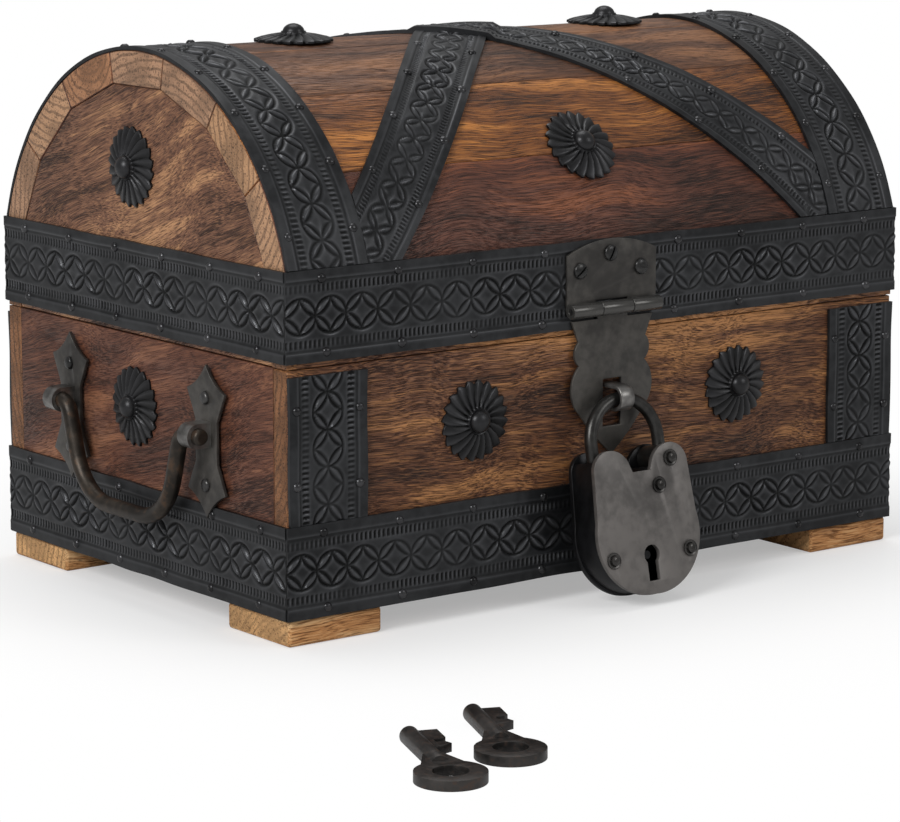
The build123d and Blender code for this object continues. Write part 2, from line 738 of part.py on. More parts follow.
with BuildPart() as hinge_leaves_lid:
    for side in (-1, 1):
        with BuildSketch(Plane.XZ.offset(-band_face)):
            with Locations((side * hinge_x, hinge_axis_z + (hinge_leaf_height + lid_band_lift) / 2)):
                Rectangle(2 * hinge_half_width, hinge_leaf_height - lid_band_lift)
            with Locations((side * hinge_x, hinge_axis_z)):
                Rectangle(2 * (hinge_half_width + over), 2 * (hinge_barrel_radius + knuckle_gap), mode=Mode.SUBTRACT)
            with Locations((side * hinge_x, hinge_axis_z + hinge_barrel_radius)):
                Rectangle(2 * hinge_knuckle_half, 2 * hinge_barrel_radius)
        extrude(amount=-hinge_leaf_thick)
        with BuildSketch(Plane.YZ.offset(side * hinge_x - hinge_knuckle_half)):
            with Locations((hinge_axis_y, hinge_axis_z)):
                Circle(hinge_barrel_radius)
        extrude(amount=2 * hinge_knuckle_half)
        with BuildSketch(Plane.YZ.offset(side * hinge_x - hinge_knuckle_half)):
            with Locations((hinge_axis_y, hinge_axis_z)):
                Circle(hinge_pin_radius + strap_gap / 2)
        extrude(amount=2 * hinge_knuckle_half, mode=Mode.SUBTRACT)
    add(hinge_lid_holes, mode=Mode.SUBTRACT)
save(hinge_leaves_lid, "hinge_leaves_lid")

with BuildPart() as hinge_pins:
    for side in (-1, 1):
        with BuildSketch(Plane.YZ.offset(side * hinge_x - hinge_half_width)):
            with Locations((hinge_axis_y, hinge_axis_z)):
                Circle(hinge_pin_radius)
        extrude(amount=2 * hinge_half_width)
save(hinge_pins, "hinge_pins")

save(screws(hasp_screw_planes, hasp_slot_angles), "hasp_screws")
save(screws(handle_screw_planes, handle_slot_angles), "handle_screws")
save(screws(hinge_body_screw_planes, hinge_body_slot_angles), "hinge_screws_body")
save(screws(hinge_lid_screw_planes, hinge_lid_slot_angles), "hinge_screws_lid")

# Padlock
lean = math.radians(lock_lean)
lock_up = (0, math.sin(lean), math.cos(lean))
lock_out = (0, -math.cos(lean), math.sin(lean))
lock_centre = (0, -bar_centre_y - shackle_top_v * lock_up[1], lock_bar_z - shackle_top_v * lock_up[2])
lock_plane = Plane(origin=lock_centre, x_dir=(1, 0, 0), z_dir=lock_out)
rivet_places = [pivot_place, inner_rivet_place, low_rivet_place, (-low_rivet_place[0], low_rivet_place[1])]


def lock_outline():
    """The heart-like face of the padlock with its two lobes."""
    with BuildSketch() as outline:
        with BuildLine():
            Line((0, notch_floor[1]), notch_floor)
            Line(notch_floor, notch_mouth)
            ThreePointArc(notch_mouth, lobe_inner, lobe_top)
            ThreePointArc(lobe_top, lobe_outer, lock_shoulder)
            Line(lock_shoulder, lock_flank)
            ThreePointArc(lock_flank, lock_belly, lock_low)
            foot_curve = (lock_low[0] * lock_foot_shares[0],
                          lock_foot_v + (lock_low[1] - lock_foot_v) * lock_foot_shares[1])
            ThreePointArc(lock_low, foot_curve, (0, lock_foot_v))
            Line((0, lock_foot_v), (0, notch_floor[1]))
        make_face()
        mirror(about=Plane.YZ)
    return outline.sketch


def lock_sheet(low, with_keyhole):
    """One face plate of the padlock, from its inner side outward."""
    with BuildPart() as plate:
        with BuildSketch(lock_plane.offset(low)):
            add(lock_outline())
            with Locations(*rivet_places):
                Circle(rivet_radius + hole_gap / 2, mode=Mode.SUBTRACT)
            if with_keyhole:
                Circle(keyhole_radius, mode=Mode.SUBTRACT)
                with Locations((0, keyhole_foot_v / 2)):
                    Rectangle(2 * keyhole_half_slot, -keyhole_foot_v, mode=Mode.SUBTRACT)
        extrude(amount=lock_plate_thick)
    return plate


rim_half = lock_half - lock_plate_thick
save(lock_sheet(rim_half, True), "lock_front_plate")
save(lock_sheet(-lock_half, False), "lock_back_plate")

with BuildPart() as lock_rim:
    with BuildSketch(lock_plane.offset(-rim_half)):
        offset(lock_outline(), amount=-lock_rim_inset)
        offset(lock_outline(), amount=-lock_rim_inset - lock_rim_wall, mode=Mode.SUBTRACT)
        with Locations((-shackle_leg_u, lobe_top[1])):
            Rectangle(lobe_opening, lobe_opening_height, mode=Mode.SUBTRACT)
        with Locations((pivot_place[0] + lobe_opening / 2, lobe_top[1])):
            Rectangle(4 * lobe_opening, 2 * lobe_opening, mode=Mode.SUBTRACT)
    extrude(amount=2 * rim_half)
save(lock_rim, "lock_rim")

with BuildPart() as lock_rivets:
    with BuildSketch(lock_plane.offset(-lock_half)):
        with Locations(*rivet_places):
            Circle(rivet_radius)
    extrude(amount=lock_depth)
    for height, way in ((lock_half, 1), (-lock_half, -1)):
        with BuildSketch(lock_plane.offset(height)):
            with Locations(*rivet_places):
                Circle(rivet_head_radius)
        extrude(amount=way * rivet_head_rise, taper=rivet_head_taper_angle)
save(lock_rivets, "lock_rivets")

with BuildPart() as key_post:
    with BuildSketch(lock_plane.offset(-rim_half)):
        Circle(post_radius)
    extrude(amount=2 * rim_half - post_gap)
save(key_post, "key_post")

with BuildPart() as shackle:
    with BuildLine(lock_plane):
        Line((-shackle_leg_u, shackle_tip_v), (-shackle_leg_u, shackle_arc_v))
        ThreePointArc((-shackle_leg_u, shackle_arc_v), (0, shackle_top_v), (shackle_leg_u, shackle_arc_v))
        Line((shackle_leg_u, shackle_arc_v), (shackle_leg_u, pivot_place[1]))
    tip = lock_plane.from_local_coords(Vector(-shackle_leg_u, shackle_tip_v, 0))
    with BuildSketch(Plane(origin=tip, x_dir=(1, 0, 0), z_dir=lock_up)):
        Circle(shackle_radius)
    sweep()
    with BuildSketch(lock_plane.offset(-rim_half + bolt_gap)):
        with Locations(pivot_place):
            Circle(shackle_boss_radius)
    extrude(amount=2 * (rim_half - bolt_gap))
    with BuildSketch(lock_plane.offset(-rim_half)):
        with Locations(pivot_place):
            Circle(rivet_radius + hole_gap / 2)
    extrude(amount=2 * rim_half, mode=Mode.SUBTRACT)
    with BuildSketch(lock_plane.offset(-rim_half)):
        with Locations((-shackle_leg_u + shackle_radius - bolt_travel / 2, bolt_nose_v + bolt_nose_height / 2)):
            Rectangle(bolt_travel, bolt_nose_height + 2 * bolt_gap)
    extrude(amount=2 * rim_half, mode=Mode.SUBTRACT)
save(shackle, "shackle")

# Lock bolt, drawn back, and the leaf spring that presses on it
nose_u = -shackle_leg_u + shackle_radius + bolt_gap
shank_u = nose_u + bolt_travel + bolt_gap
with BuildPart() as lock_bolt:
    with BuildSketch(lock_plane.offset(-bolt_thick / 2)):
        with BuildLine():
            Polyline((nose_u, bolt_nose_v), (nose_u, bolt_nose_v + bolt_nose_height),
                     (nose_u + bolt_head_width, bolt_nose_v + bolt_nose_height),
                     (nose_u + bolt_head_width, bolt_low_v + bolt_height),
                     (bolt_tail_u, bolt_low_v + bolt_height), (bolt_tail_u, bolt_low_v),
                     (shank_u, bolt_low_v), (shank_u, bolt_nose_v), close=True)
        make_face()
    extrude(amount=bolt_thick)
save(lock_bolt, "lock_bolt")

bolt_top_v = bolt_low_v + bolt_height
with BuildPart() as bolt_spring:
    with BuildSketch(lock_plane.offset(-bolt_thick / 2)):
        spring_end = (inner_rivet_place[0] - rivet_radius - spring_thick, inner_rivet_place[1])
        spring_tip = (nose_u + bolt_head_width + bolt_travel, bolt_top_v + bolt_gap + spring_sag)
        spring_low = ((spring_end[0] + spring_tip[0]) / 2, bolt_top_v + spring_thick / 2 + bolt_gap)
        with BuildLine():
            spring_path = ThreePointArc(spring_end, spring_low, spring_tip)
            offset(spring_path, amount=spring_thick / 2)
        make_face()
    extrude(amount=bolt_thick)
save(bolt_spring, "bolt_spring")


def key(bow_place, angle, name):
    """A key lying on the ground along its shank. Its plane runs from the tip towards the bow."""
    heading = math.radians(angle)
    along = (-math.cos(heading), -math.sin(heading), 0)
    tip = (bow_place[0] + key_reach * math.cos(heading), bow_place[1] + key_reach * math.sin(heading), 0)
    aside = Vector(math.sin(heading), -math.cos(heading), 0)
    base = Plane(origin=tip, x_dir=along, z_dir=(0, 0, 1))
    with BuildPart() as whole_key:
        with BuildSketch(base.offset(shank_radius - bow_thick / 2)):
            with Locations((key_reach, 0)):
                Circle(bow_radius)
            with BuildLine():
                neck = key_reach - bow_radius - neck_length
                neck_end = key_reach - bow_radius * bow_neck_shares[0]
                neck_half = bow_radius * bow_neck_shares[1]
                Polyline((neck, -shank_radius), (neck, shank_radius), (neck_end, neck_half),
                         (neck_end, -neck_half), close=True)
            make_face()
            with Locations((key_reach, 0)):
                Circle(bow_hole_radius, mode=Mode.SUBTRACT)
        extrude(amount=bow_thick)
        with BuildSketch(base.offset(shank_radius - bit_thick / 2)):
            with BuildLine():
                second = bit_first + bit_notch
                Polyline((0, 0), (0, bit_reach), (bit_first - bit_chamfer, bit_reach),
                         (bit_first, bit_reach - bit_chamfer), (bit_first, bit_notch_reach),
                         (second, bit_notch_reach), (second, bit_reach - bit_chamfer),
                         (second + bit_second / 2, bit_reach), (second + bit_second, bit_notch_reach),
                         (second + bit_second, 0), close=True)
            make_face()
        extrude(amount=bit_thick)
        end = base.from_local_coords(Vector(0, 0, shank_radius))
        with BuildSketch(Plane(origin=end, x_dir=aside, z_dir=along)):
            Circle(shank_radius)
        extrude(amount=key_reach - bow_radius)
        with BuildSketch(Plane(origin=end, x_dir=aside, z_dir=along)):
            Circle(key_bore_radius)
        extrude(amount=key_bore_depth, mode=Mode.SUBTRACT)
    save(whole_key, name)


key(key_1_bow, key_1_angle, "key_1")
key(key_2_bow, key_2_angle, "key_2")
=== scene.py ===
# %% [markdown]
# A wooden treasure chest with embossed iron straps, a hasp, a padlock and two keys.
# The boards, staves, handles, hinges and lock come from the CAD frame, at their real size and place.
# What is added here is the finish of every surface, and the worked iron that makes such a chest:
# the stamped chain of circles on the straps, the pressed flowers and the nails that hold it all.

# %% Load the frame
import math

import bmesh
import bpy
import numpy as np
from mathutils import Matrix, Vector


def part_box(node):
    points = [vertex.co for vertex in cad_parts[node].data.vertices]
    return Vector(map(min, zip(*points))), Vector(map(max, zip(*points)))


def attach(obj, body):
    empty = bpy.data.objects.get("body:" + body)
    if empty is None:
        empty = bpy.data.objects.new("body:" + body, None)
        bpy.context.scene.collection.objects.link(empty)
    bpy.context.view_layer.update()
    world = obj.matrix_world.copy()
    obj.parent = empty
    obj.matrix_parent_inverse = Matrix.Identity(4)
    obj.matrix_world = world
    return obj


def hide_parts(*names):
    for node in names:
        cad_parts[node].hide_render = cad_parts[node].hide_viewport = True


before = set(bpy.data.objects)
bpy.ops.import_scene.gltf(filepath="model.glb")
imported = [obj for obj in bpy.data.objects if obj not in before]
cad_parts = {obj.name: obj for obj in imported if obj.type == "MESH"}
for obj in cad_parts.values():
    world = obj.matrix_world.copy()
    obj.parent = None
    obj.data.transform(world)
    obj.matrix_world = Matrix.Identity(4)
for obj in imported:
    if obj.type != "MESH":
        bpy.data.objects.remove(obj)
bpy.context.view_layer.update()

# %% [markdown]
# Every place below is worked out from the frame, so it stays right if the chest is changed.
# The bottom board is centred in the chest, so its box gives the chest's middle, and the straps
# themselves say where the iron goes.

# %% Places read from the frame
MM = 0.001
floor_low, floor_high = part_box("bottom_board")
chest = Vector(((floor_low[0] + floor_high[0]) / 2, (floor_low[1] + floor_high[1]) / 2, 0.0))
front_low, front_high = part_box("front_board")
half_length = (front_high[0] - front_low[0]) / 2
half_depth = chest.y - front_low[1]
crown_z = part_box("stave_4")[1].z
dome_start = math.radians(15.2)
dome_radius = half_depth / math.cos(dome_start)
dome_z = crown_z - dome_radius
print("chest middle", tuple(chest), "half length", half_length, "dome centre height", dome_z)

# %% [markdown]
# The camera stands where the photograph was taken from, a little above the chest and to its left.
# A long lens keeps the edges almost parallel, as product photographs have them.

# %% Camera
def add_object(name, data):
    """An object with this data, in the scene."""
    made = bpy.data.objects.new(name, data)
    bpy.context.collection.objects.link(made)
    return made


camera_data = bpy.data.cameras.new("photo_camera")
camera = add_object("photo_camera", camera_data)
camera_place = Vector((-0.8724, -1.1418, 0.3246))
camera_turn = math.radians(-37.32)
camera_tilt = math.radians(10.56)
camera.location = chest + camera_place
back = Vector((math.sin(camera_turn) * math.cos(camera_tilt),
               -math.cos(camera_turn) * math.cos(camera_tilt),
               math.sin(camera_tilt)))
camera.rotation_mode = "QUATERNION"
camera.rotation_quaternion = (-back).to_track_quat("-Z", "Y")
camera_data.lens = 143.5
camera_data.sensor_width = 36.0
camera_data.clip_end = 20.0
bpy.context.scene.camera = camera

# %% [markdown]
# Small helpers for node trees. Most add a node, set its inputs and return what comes out of it, so
# that a material below reads like its recipe.

# %% Helpers for nodes
def give(tree, made, inputs):
    """Links or sets a node's inputs, by name or number."""
    for key, value in inputs.items():
        if isinstance(value, bpy.types.NodeSocket):
            tree.links.new(value, made.inputs[key])
        else:
            made.inputs[key].default_value = value


def node(tree, kind, inputs=None, **settings):
    """Adds one node, with settings as attributes."""
    made = tree.nodes.new(kind)
    for key, value in settings.items():
        setattr(made, key, value)
    give(tree, made, inputs or {})
    return made


def maths(tree, operation, first, second=0.5, clamp=False):
    """A maths node on one or two values."""
    made = node(tree, "ShaderNodeMath", {0: first, 1: second}, operation=operation, use_clamp=clamp)
    return made.outputs[0]


def times(tree, value, share):
    """A value times another."""
    return maths(tree, "MULTIPLY", value, share)


def mix(tree, factor, first, second):
    """Two colours mixed by a factor."""
    return node(tree, "ShaderNodeMix", {0: factor, 6: first, 7: second}, data_type="RGBA").outputs[2]


def ramp(tree, factor, stops):
    """A colour ramp with stops of (place, grey or colour)."""
    made = node(tree, "ShaderNodeValToRGB", {0: factor})
    made.color_ramp.interpolation = "EASE"
    elements = made.color_ramp.elements
    while len(elements) < len(stops):
        elements.new(0.5)
    for element, (place, colour) in zip(elements, stops):
        element.position = place
        element.color = colour if isinstance(colour, tuple) else (colour, colour, colour, 1.0)
    return made.outputs[0]


def srgb(red, green, blue):
    """A colour as it is seen, 0 to 255, in the linear values that shaders use."""
    def linear(value):
        value = value / 255.0
        return value / 12.92 if value <= 0.04045 else ((value + 0.055) / 1.055) ** 2.4
    return (linear(red), linear(green), linear(blue), 1.0)


def new_group(name, inputs, outputs, tree_kind="ShaderNodeTree"):
    """An empty group with inputs and outputs given as {name: kind}, what comes in and its end node."""
    group = bpy.data.node_groups.new(name, tree_kind)
    for in_out, sockets in (("INPUT", inputs), ("OUTPUT", outputs)):
        for label, kind in sockets.items():
            group.interface.new_socket(name=label, in_out=in_out, socket_type="NodeSocket" + kind)
    return group, node(group, "NodeGroupInput").outputs, node(group, "NodeGroupOutput")


def new_material(name):
    """A new material, its node tree and its main shader."""
    material = bpy.data.materials.new(name)
    material.use_nodes = True
    return material, material.node_tree, material.node_tree.nodes["Principled BSDF"]


# %% [markdown]
# The wood is an open-pored tropical wood, planed and stained. What shows is a dense run of short
# dark pores along the board, a broader banding of light and dark growth, and patches where the
# stain took less. One group makes these three from a point, bent a little as grown grain is, so
# that the boards, staves, end panels and feet differ only in colour and in the way they were cut.

# %% Shared wood grain
grain_group, grain_in, grain_out = new_group(
    "Wood grain", {"Place": "Vector", "Fineness": "Float", "Seed": "Float"},
    {"Tone": "Float", "Pores": "Float", "Glints": "Float", "Height": "Float"})


def vector_maths(tree, operation, first, second):
    """A vector maths node on two vectors."""
    return node(tree, "ShaderNodeVectorMath", {0: first, 1: second}, operation=operation).outputs[0]


def noise(tree, place, scale, detail=3.0, roughness=0.55):
    """The value of a noise texture."""
    return node(tree, "ShaderNodeTexNoise", {"Vector": place, "Scale": scale, "Detail": detail,
                                             "Roughness": roughness}).outputs[0]


grain_bend = 0.014
seed = grain_in["Seed"]
apart = node(grain_group, "ShaderNodeCombineXYZ", {0: seed, 1: seed, 2: seed}).outputs[0]
moved = vector_maths(grain_group, "ADD", grain_in["Place"], apart)
bent = maths(grain_group, "SUBTRACT", noise(grain_group, moved, 18.0, 1.0), 0.5)
bent = times(grain_group, bent, grain_bend)
bend_aside = node(grain_group, "ShaderNodeCombineXYZ", {0: 0.0, 1: bent, 2: bent}).outputs[0]
wavy = vector_maths(grain_group, "ADD", moved, bend_aside)
sized = node(grain_group, "ShaderNodeVectorMath", {0: wavy, "Scale": grain_in["Fineness"]},
             operation="SCALE").outputs[0]
across_grain = {kind: vector_maths(grain_group, "MULTIPLY", sized, (1.0, squeeze, squeeze))
                for kind, squeeze in (("streak", 25.0), ("fibre", 45.0), ("bands", 16.0))}
streak = noise(grain_group, across_grain["streak"], 115.0, 4.0, 0.6)
fibre = noise(grain_group, across_grain["fibre"], 45.0, 3.0, 0.6)
bands = noise(grain_group, across_grain["bands"], 9.0, 4.0, 0.6)
patches = noise(grain_group, vector_maths(grain_group, "MULTIPLY", moved, (1.0, 2.5, 2.5)), 11.0, 2.0)
tone = 0.0
for share, part in ((0.4, bands), (0.35, patches), (0.25, fibre)):
    tone = maths(grain_group, "ADD", times(grain_group, part, share), tone)
pores = ramp(grain_group, streak, [(0.36, 1.0), (0.5, 0.0)])
glints = ramp(grain_group, streak, [(0.5, 0.0), (0.68, 1.0)])
height = maths(grain_group, "SUBTRACT", times(grain_group, fibre, 0.4), pores)
give(grain_group, grain_out, {"Tone": tone, "Pores": pores, "Glints": glints, "Height": height})


# %% [markdown]
# Each wood finish turns the group so that the grain runs along the piece, and mixes three stains
# by its tone, darkened in the pores and lightened between them. Cut ends, where the face looks
# along the grain, are paler and show curved rings instead of streaks. The face's own direction
# tells the two apart.

# %% Wood finishes
pore_depth = 0.5 * MM
pale_from = 76 * MM


def put_on(material, node_names):
    """Gives CAD nodes, named in one line of words, this finish."""
    for node_name in node_names.split():
        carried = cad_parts[node_name]
        carried.data.materials.clear()
        carried.data.materials.append(material)
    print(material.name, "on", node_names or "no CAD node")
    return material


def darker(colour, share):
    """A colour at this share of its brightness."""
    return tuple(channel * share for channel in colour[:3]) + (1.0,)


def wood(name, node_names, dark, middle, light, grain_axis="X", seed=0.0, gloss=0.5, end_colour=None,
         fineness=1.0, relief=0.45, lean=0.0, pored=0.7, pale_rim=None):
    """A stained wood, cut along grain_axis with its grain leaning this many degrees.

    pored is how dark the pores are. pale_rim is a pair of heights between which the wood gets paler
    upward.
    """
    material, tree, shader = new_material(name)
    cut = srgb(*(end_colour or light))
    dark, middle, light = srgb(*dark), srgb(*middle), srgb(*light)
    place = node(tree, "ShaderNodeTexCoord").outputs
    split = node(tree, "ShaderNodeSeparateXYZ", {0: place["Object"]}).outputs
    order = {"X": (0, 1, 2), "Y": (1, 0, 2)}[grain_axis]
    turned = node(tree, "ShaderNodeCombineXYZ", {k: split[order[k]] for k in range(3)}).outputs[0]
    if lean:
        turned = node(tree, "ShaderNodeVectorRotate", {"Vector": turned, "Angle": math.radians(lean)},
                      rotation_type="Y_AXIS").outputs[0]
    grain = node(tree, "ShaderNodeGroup", {"Place": turned, "Seed": seed, "Fineness": fineness},
                 node_tree=grain_group).outputs
    tone = grain["Tone"]
    if pale_rim:
        paler = node(tree, "ShaderNodeMapRange",
                     {0: split[2], 1: pale_rim[0], 2: pale_rim[1], 3: 0.0, 4: 0.07}).outputs[0]
        tone = maths(tree, "ADD", tone, paler)
    colour = ramp(tree, tone, [(0.4, dark), (0.5, middle), (0.61, light)])
    pore_colour = darker(dark, 0.45)
    colour = mix(tree, times(tree, grain["Pores"], pored), colour, pore_colour)
    colour = mix(tree, times(tree, grain["Glints"], 0.35), colour, light)
    facing = node(tree, "ShaderNodeSeparateXYZ", {0: place["Normal"]}).outputs["XYZ".index(grain_axis)]
    end_mask = ramp(tree, maths(tree, "ABSOLUTE", facing), [(0.85, 0.0), (0.95, 1.0)])
    tree_middle = (seed * 0.0031, seed * 0.0023 - 0.15, seed * 0.0037 - 0.25)
    log = vector_maths(tree, "ADD", place["Object"], tree_middle)
    rings = node(tree, "ShaderNodeTexWave", {"Vector": log, "Scale": 95.0, "Distortion": 5.0,
                                             "Detail": 3.0, "Detail Scale": 0.9},
                 wave_type="RINGS", rings_direction=grain_axis).outputs[1]
    cut_shade = darker(cut, 0.5)
    end = mix(tree, ramp(tree, rings, [(0.05, 0.9), (0.42, 0.0)]), cut, cut_shade)
    stains = ramp(tree, noise(tree, place["Object"], 60.0), [(0.42, 0.0), (0.62, 0.75)])
    end = mix(tree, stains, end, cut_shade)
    specks = ramp(tree, noise(tree, place["Object"], 1500.0), [(0.36, 0.7), (0.46, 0.0)])
    end = mix(tree, specks, end, pore_colour)
    colour = mix(tree, end_mask, colour, end)
    roughness = maths(tree, "ADD", times(tree, grain["Pores"], 0.3), gloss - 0.06)
    bump = node(tree, "ShaderNodeBump",
                {"Height": grain["Height"], "Strength": relief, "Distance": pore_depth}).outputs[0]
    give(tree, shader, {"Base Color": colour, "Roughness": roughness, "Normal": bump,
                        "Specular IOR Level": 0.35})
    return put_on(material, node_names)


wood("stave_red", "stave_2 stave_7", (40, 21, 14), (84, 47, 34), (136, 80, 50), seed=3.0,
     end_colour=(184, 142, 108))
wood("stave_dark", "stave_3", (34, 19, 13), (72, 42, 29), (126, 76, 48), seed=11.0,
     end_colour=(172, 122, 86))
wood("stave_gold", "stave_6", (50, 26, 14), (112, 66, 33), (196, 128, 62), seed=21.0, pored=0.85,
     end_colour=(188, 144, 106))
wood("stave_brown", "stave_1 stave_4 stave_5", (42, 25, 17), (90, 58, 40), (146, 100, 66), seed=31.0,
     end_colour=(176, 136, 106))
wood("front_wood", "front_board back_board lid_rail_front lid_rail_back", (46, 25, 16), (90, 54, 34),
     (176, 122, 74), seed=41.0, relief=0.7, end_colour=(146, 100, 66), lean=-2.0,
     pale_rim=(pale_from, front_high[2]))
wood("side_wood", "left_board right_board", (46, 24, 16), (90, 54, 40), (142, 96, 70), seed=51.0,
     grain_axis="Y", lean=-14.0, pored=0.5)
wood("end_wood", "lid_end_left lid_end_right", (56, 34, 24), (110, 75, 57), (180, 134, 96), seed=61.0,
     grain_axis="Y", lean=-19.0)
wood("floor_wood", "bottom_board", (60, 40, 26), (110, 76, 50), (150, 112, 76), seed=71.0)
wood("foot_wood", "feet", (110, 66, 36), (196, 138, 84), (242, 200, 146), seed=81.0, gloss=0.7,
     end_colour=(228, 178, 122), fineness=0.7)

# %% [markdown]
# The iron is thin sheet, blackened with oil and heat. It is nearly black, a little grey where it
# catches the light and duller in the hollows of the stamping. One group makes the mottled skin. A
# second one paints shade into the hollows and a lighter colour on what stands out, partly rubbing
# and partly painted highlight. It reads the attribute "edge" that the stamped and pressed pieces
# carry, which is above nought on their crests and below it in their hollows.

# %% Shared iron skin, and painted shade and highlight on the relief
skin_group, skin_in, skin_out = new_group(
    "Iron skin", {"Place": "Vector", "Scale": "Float"},
    {"Tone": "Float", "Mottle": "Float", "Height": "Float"})
scaled = node(skin_group, "ShaderNodeVectorMath", {0: skin_in["Place"], "Scale": skin_in["Scale"]},
              operation="SCALE").outputs[0]
mottle = noise(skin_group, scaled, 260.0, 5.0)
smudge = noise(skin_group, scaled, 34.0, 4.0)
skin_tone = maths(skin_group, "ADD", times(skin_group, smudge, 0.65),
                  times(skin_group, mottle, 0.35))
skin_height = maths(skin_group, "ADD", times(skin_group, mottle, 0.3),
                    noise(skin_group, scaled, 110.0, 2.0))
give(skin_group, skin_out, {"Tone": skin_tone, "Mottle": mottle, "Height": skin_height})

edge_light_group, edge_light_in, edge_light_out = new_group(
    "Painted edge shade and highlight", {"Colour": "Color", "Rubbing and highlight": "Color", "Roughness": "Float"},
    {"Colour": "Color", "Roughness": "Float"})
edge = node(edge_light_group, "ShaderNodeAttribute", attribute_name="edge").outputs["Fac"]
hollow = maths(edge_light_group, "MULTIPLY", edge, -1.0, clamp=True)
crest = maths(edge_light_group, "MULTIPLY", edge, 1.0, clamp=True)
# Painted shade: the hollows are darkened nearly to black, as the shade in them would look.
painted_hollow_shade = (0.003, 0.003, 0.003, 1.0)
shaded_and_highlighted = mix(edge_light_group, times(edge_light_group, hollow, 0.85), edge_light_in["Colour"], painted_hollow_shade)
# The crests get a lighter colour, partly rubbing of the iron and partly a painted highlight.
shaded_and_highlighted = mix(edge_light_group, times(edge_light_group, crest, 0.8), shaded_and_highlighted, edge_light_in["Rubbing and highlight"])
smoothed = maths(edge_light_group, "SUBTRACT", edge_light_in["Roughness"], times(edge_light_group, crest, 0.12))
dulled = maths(edge_light_group, "ADD", smoothed, times(edge_light_group, hollow, 0.3))
give(edge_light_group, edge_light_out, {"Colour": shaded_and_highlighted, "Roughness": dulled})


# %% Iron finishes
pin_low, pin_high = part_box("hasp_pin")
barrel_middle = (pin_low + pin_high) / 2
barrel_radius = 3.4 * MM
skin_depth = 0.3 * MM


def iron(name, node_names, dark, light, rough_low, rough_high, metal=0.6, relief=0.2, rust=None,
         scale=1.0, rubbing_highlight=None, barrel=None):
    """An iron finish between two colours, mottled.

    Colours can be given for rust, for lighter crests over painted hollow shade, and for a hinge barrel.
    """
    material, tree, shader = new_material(name)
    place = node(tree, "ShaderNodeTexCoord").outputs["Object"]
    skin = node(tree, "ShaderNodeGroup", {"Place": place, "Scale": scale}, node_tree=skin_group).outputs
    tone = skin["Tone"]
    colour = mix(tree, ramp(tree, tone, [(0.38, 0.0), (0.62, 1.0)]), srgb(*dark), srgb(*light))
    if rust:
        colour = mix(tree, ramp(tree, skin["Mottle"], [(0.52, 0.0), (0.68, 0.55)]), colour, srgb(*rust))
    roughness = node(tree, "ShaderNodeMapRange",
                     {0: tone, 1: 0.35, 2: 0.65, 3: rough_low, 4: rough_high}).outputs[0]
    # A band round the hinge pin is lighter, partly rubbing of the knuckles and partly a painted
    # highlight.
    if barrel:
        off_axis = vector_maths(tree, "SUBTRACT", place, barrel_middle)
        off_axis = vector_maths(tree, "MULTIPLY", off_axis, (0.0, 1.0, 1.0))
        far_off = node(tree, "ShaderNodeVectorMath", {0: off_axis}, operation="LENGTH").outputs["Value"]
        on_barrel = maths(tree, "LESS_THAN", far_off, barrel_radius)
        colour = mix(tree, times(tree, on_barrel, 0.8), colour, srgb(*barrel))
        roughness = maths(tree, "SUBTRACT", roughness, times(tree, on_barrel, 0.2))
    # Painted shade in the hollows; on the crests rubbing and a painted highlight.
    if rubbing_highlight:
        edge_lit = node(tree, "ShaderNodeGroup",
                      {"Colour": colour, "Roughness": roughness, "Rubbing and highlight": srgb(*rubbing_highlight)},
                      node_tree=edge_light_group).outputs
        colour, roughness = edge_lit["Colour"], edge_lit["Roughness"]
    bump = node(tree, "ShaderNodeBump",
                {"Height": skin["Height"], "Strength": relief, "Distance": skin_depth}).outputs[0]
    give(tree, shader, {"Base Color": colour, "Roughness": roughness, "Metallic": metal, "Normal": bump})
    return put_on(material, node_names)


# The straps and flowers get painted shade in their hollows and a lighter colour on their crests.
black_iron = iron("black_iron", "", (28, 29, 31), (50, 51, 53), 0.38, 0.52, rubbing_highlight=(80, 81, 84))
flower_iron = iron("flower_iron", "", (22, 22, 23), (38, 38, 40), 0.32, 0.44, rubbing_highlight=(66, 66, 68))
nail_iron = iron("nail_iron", "", (34, 34, 35), (72, 72, 74), 0.2, 0.3, metal=0.7)
rivet_iron = iron("rivet_iron", "", (38, 37, 36), (76, 74, 72), 0.18, 0.3, metal=0.75)
screw_iron = iron("screw_iron", "handle_screws hinge_screws_body hinge_screws_lid hasp_screws hinge_pins "
                  "hasp_pin lock_rivets lock_bolt", (46, 46, 46), (88, 87, 86), 0.24, 0.38, metal=0.75)
# The hasp's hinge barrel is lighter, partly rubbing and partly a painted highlight.
iron("hasp_iron", "handle_plates hinge_leaves_body hinge_leaves_lid hasp_plate hasp_leaf", (58, 56, 54),
     (86, 83, 79), 0.38, 0.52, barrel=(80, 79, 77))
iron("eye_steel", "handle_eyes staple bolt_spring", (84, 82, 80), (146, 144, 141), 0.26, 0.42, metal=0.8)
iron("bail_iron", "bail_left bail_right", (44, 40, 36), (78, 70, 62), 0.36, 0.5, metal=0.75,
     rust=(92, 68, 50))
iron("lock_iron", "lock_front_plate", (90, 87, 85), (119, 115, 112), 0.36, 0.5, relief=0.12)
# Dark iron for the rim and the key post, darkened further as painted shade; on the back plate, whose own
# grey matches the front, the dark is all painted shade.
iron("rim_iron_painted_shade", "lock_back_plate lock_rim key_post", (21, 21, 22), (35, 35, 37), 0.3, 0.42, relief=0.1)
iron("shackle_iron", "shackle", (47, 46, 45), (72, 71, 69), 0.26, 0.38, metal=0.8, relief=0.12)
iron("key_iron", "key_1 key_2", (38, 36, 35), (64, 61, 59), 0.35, 0.5, rust=(80, 62, 52), scale=1.6)

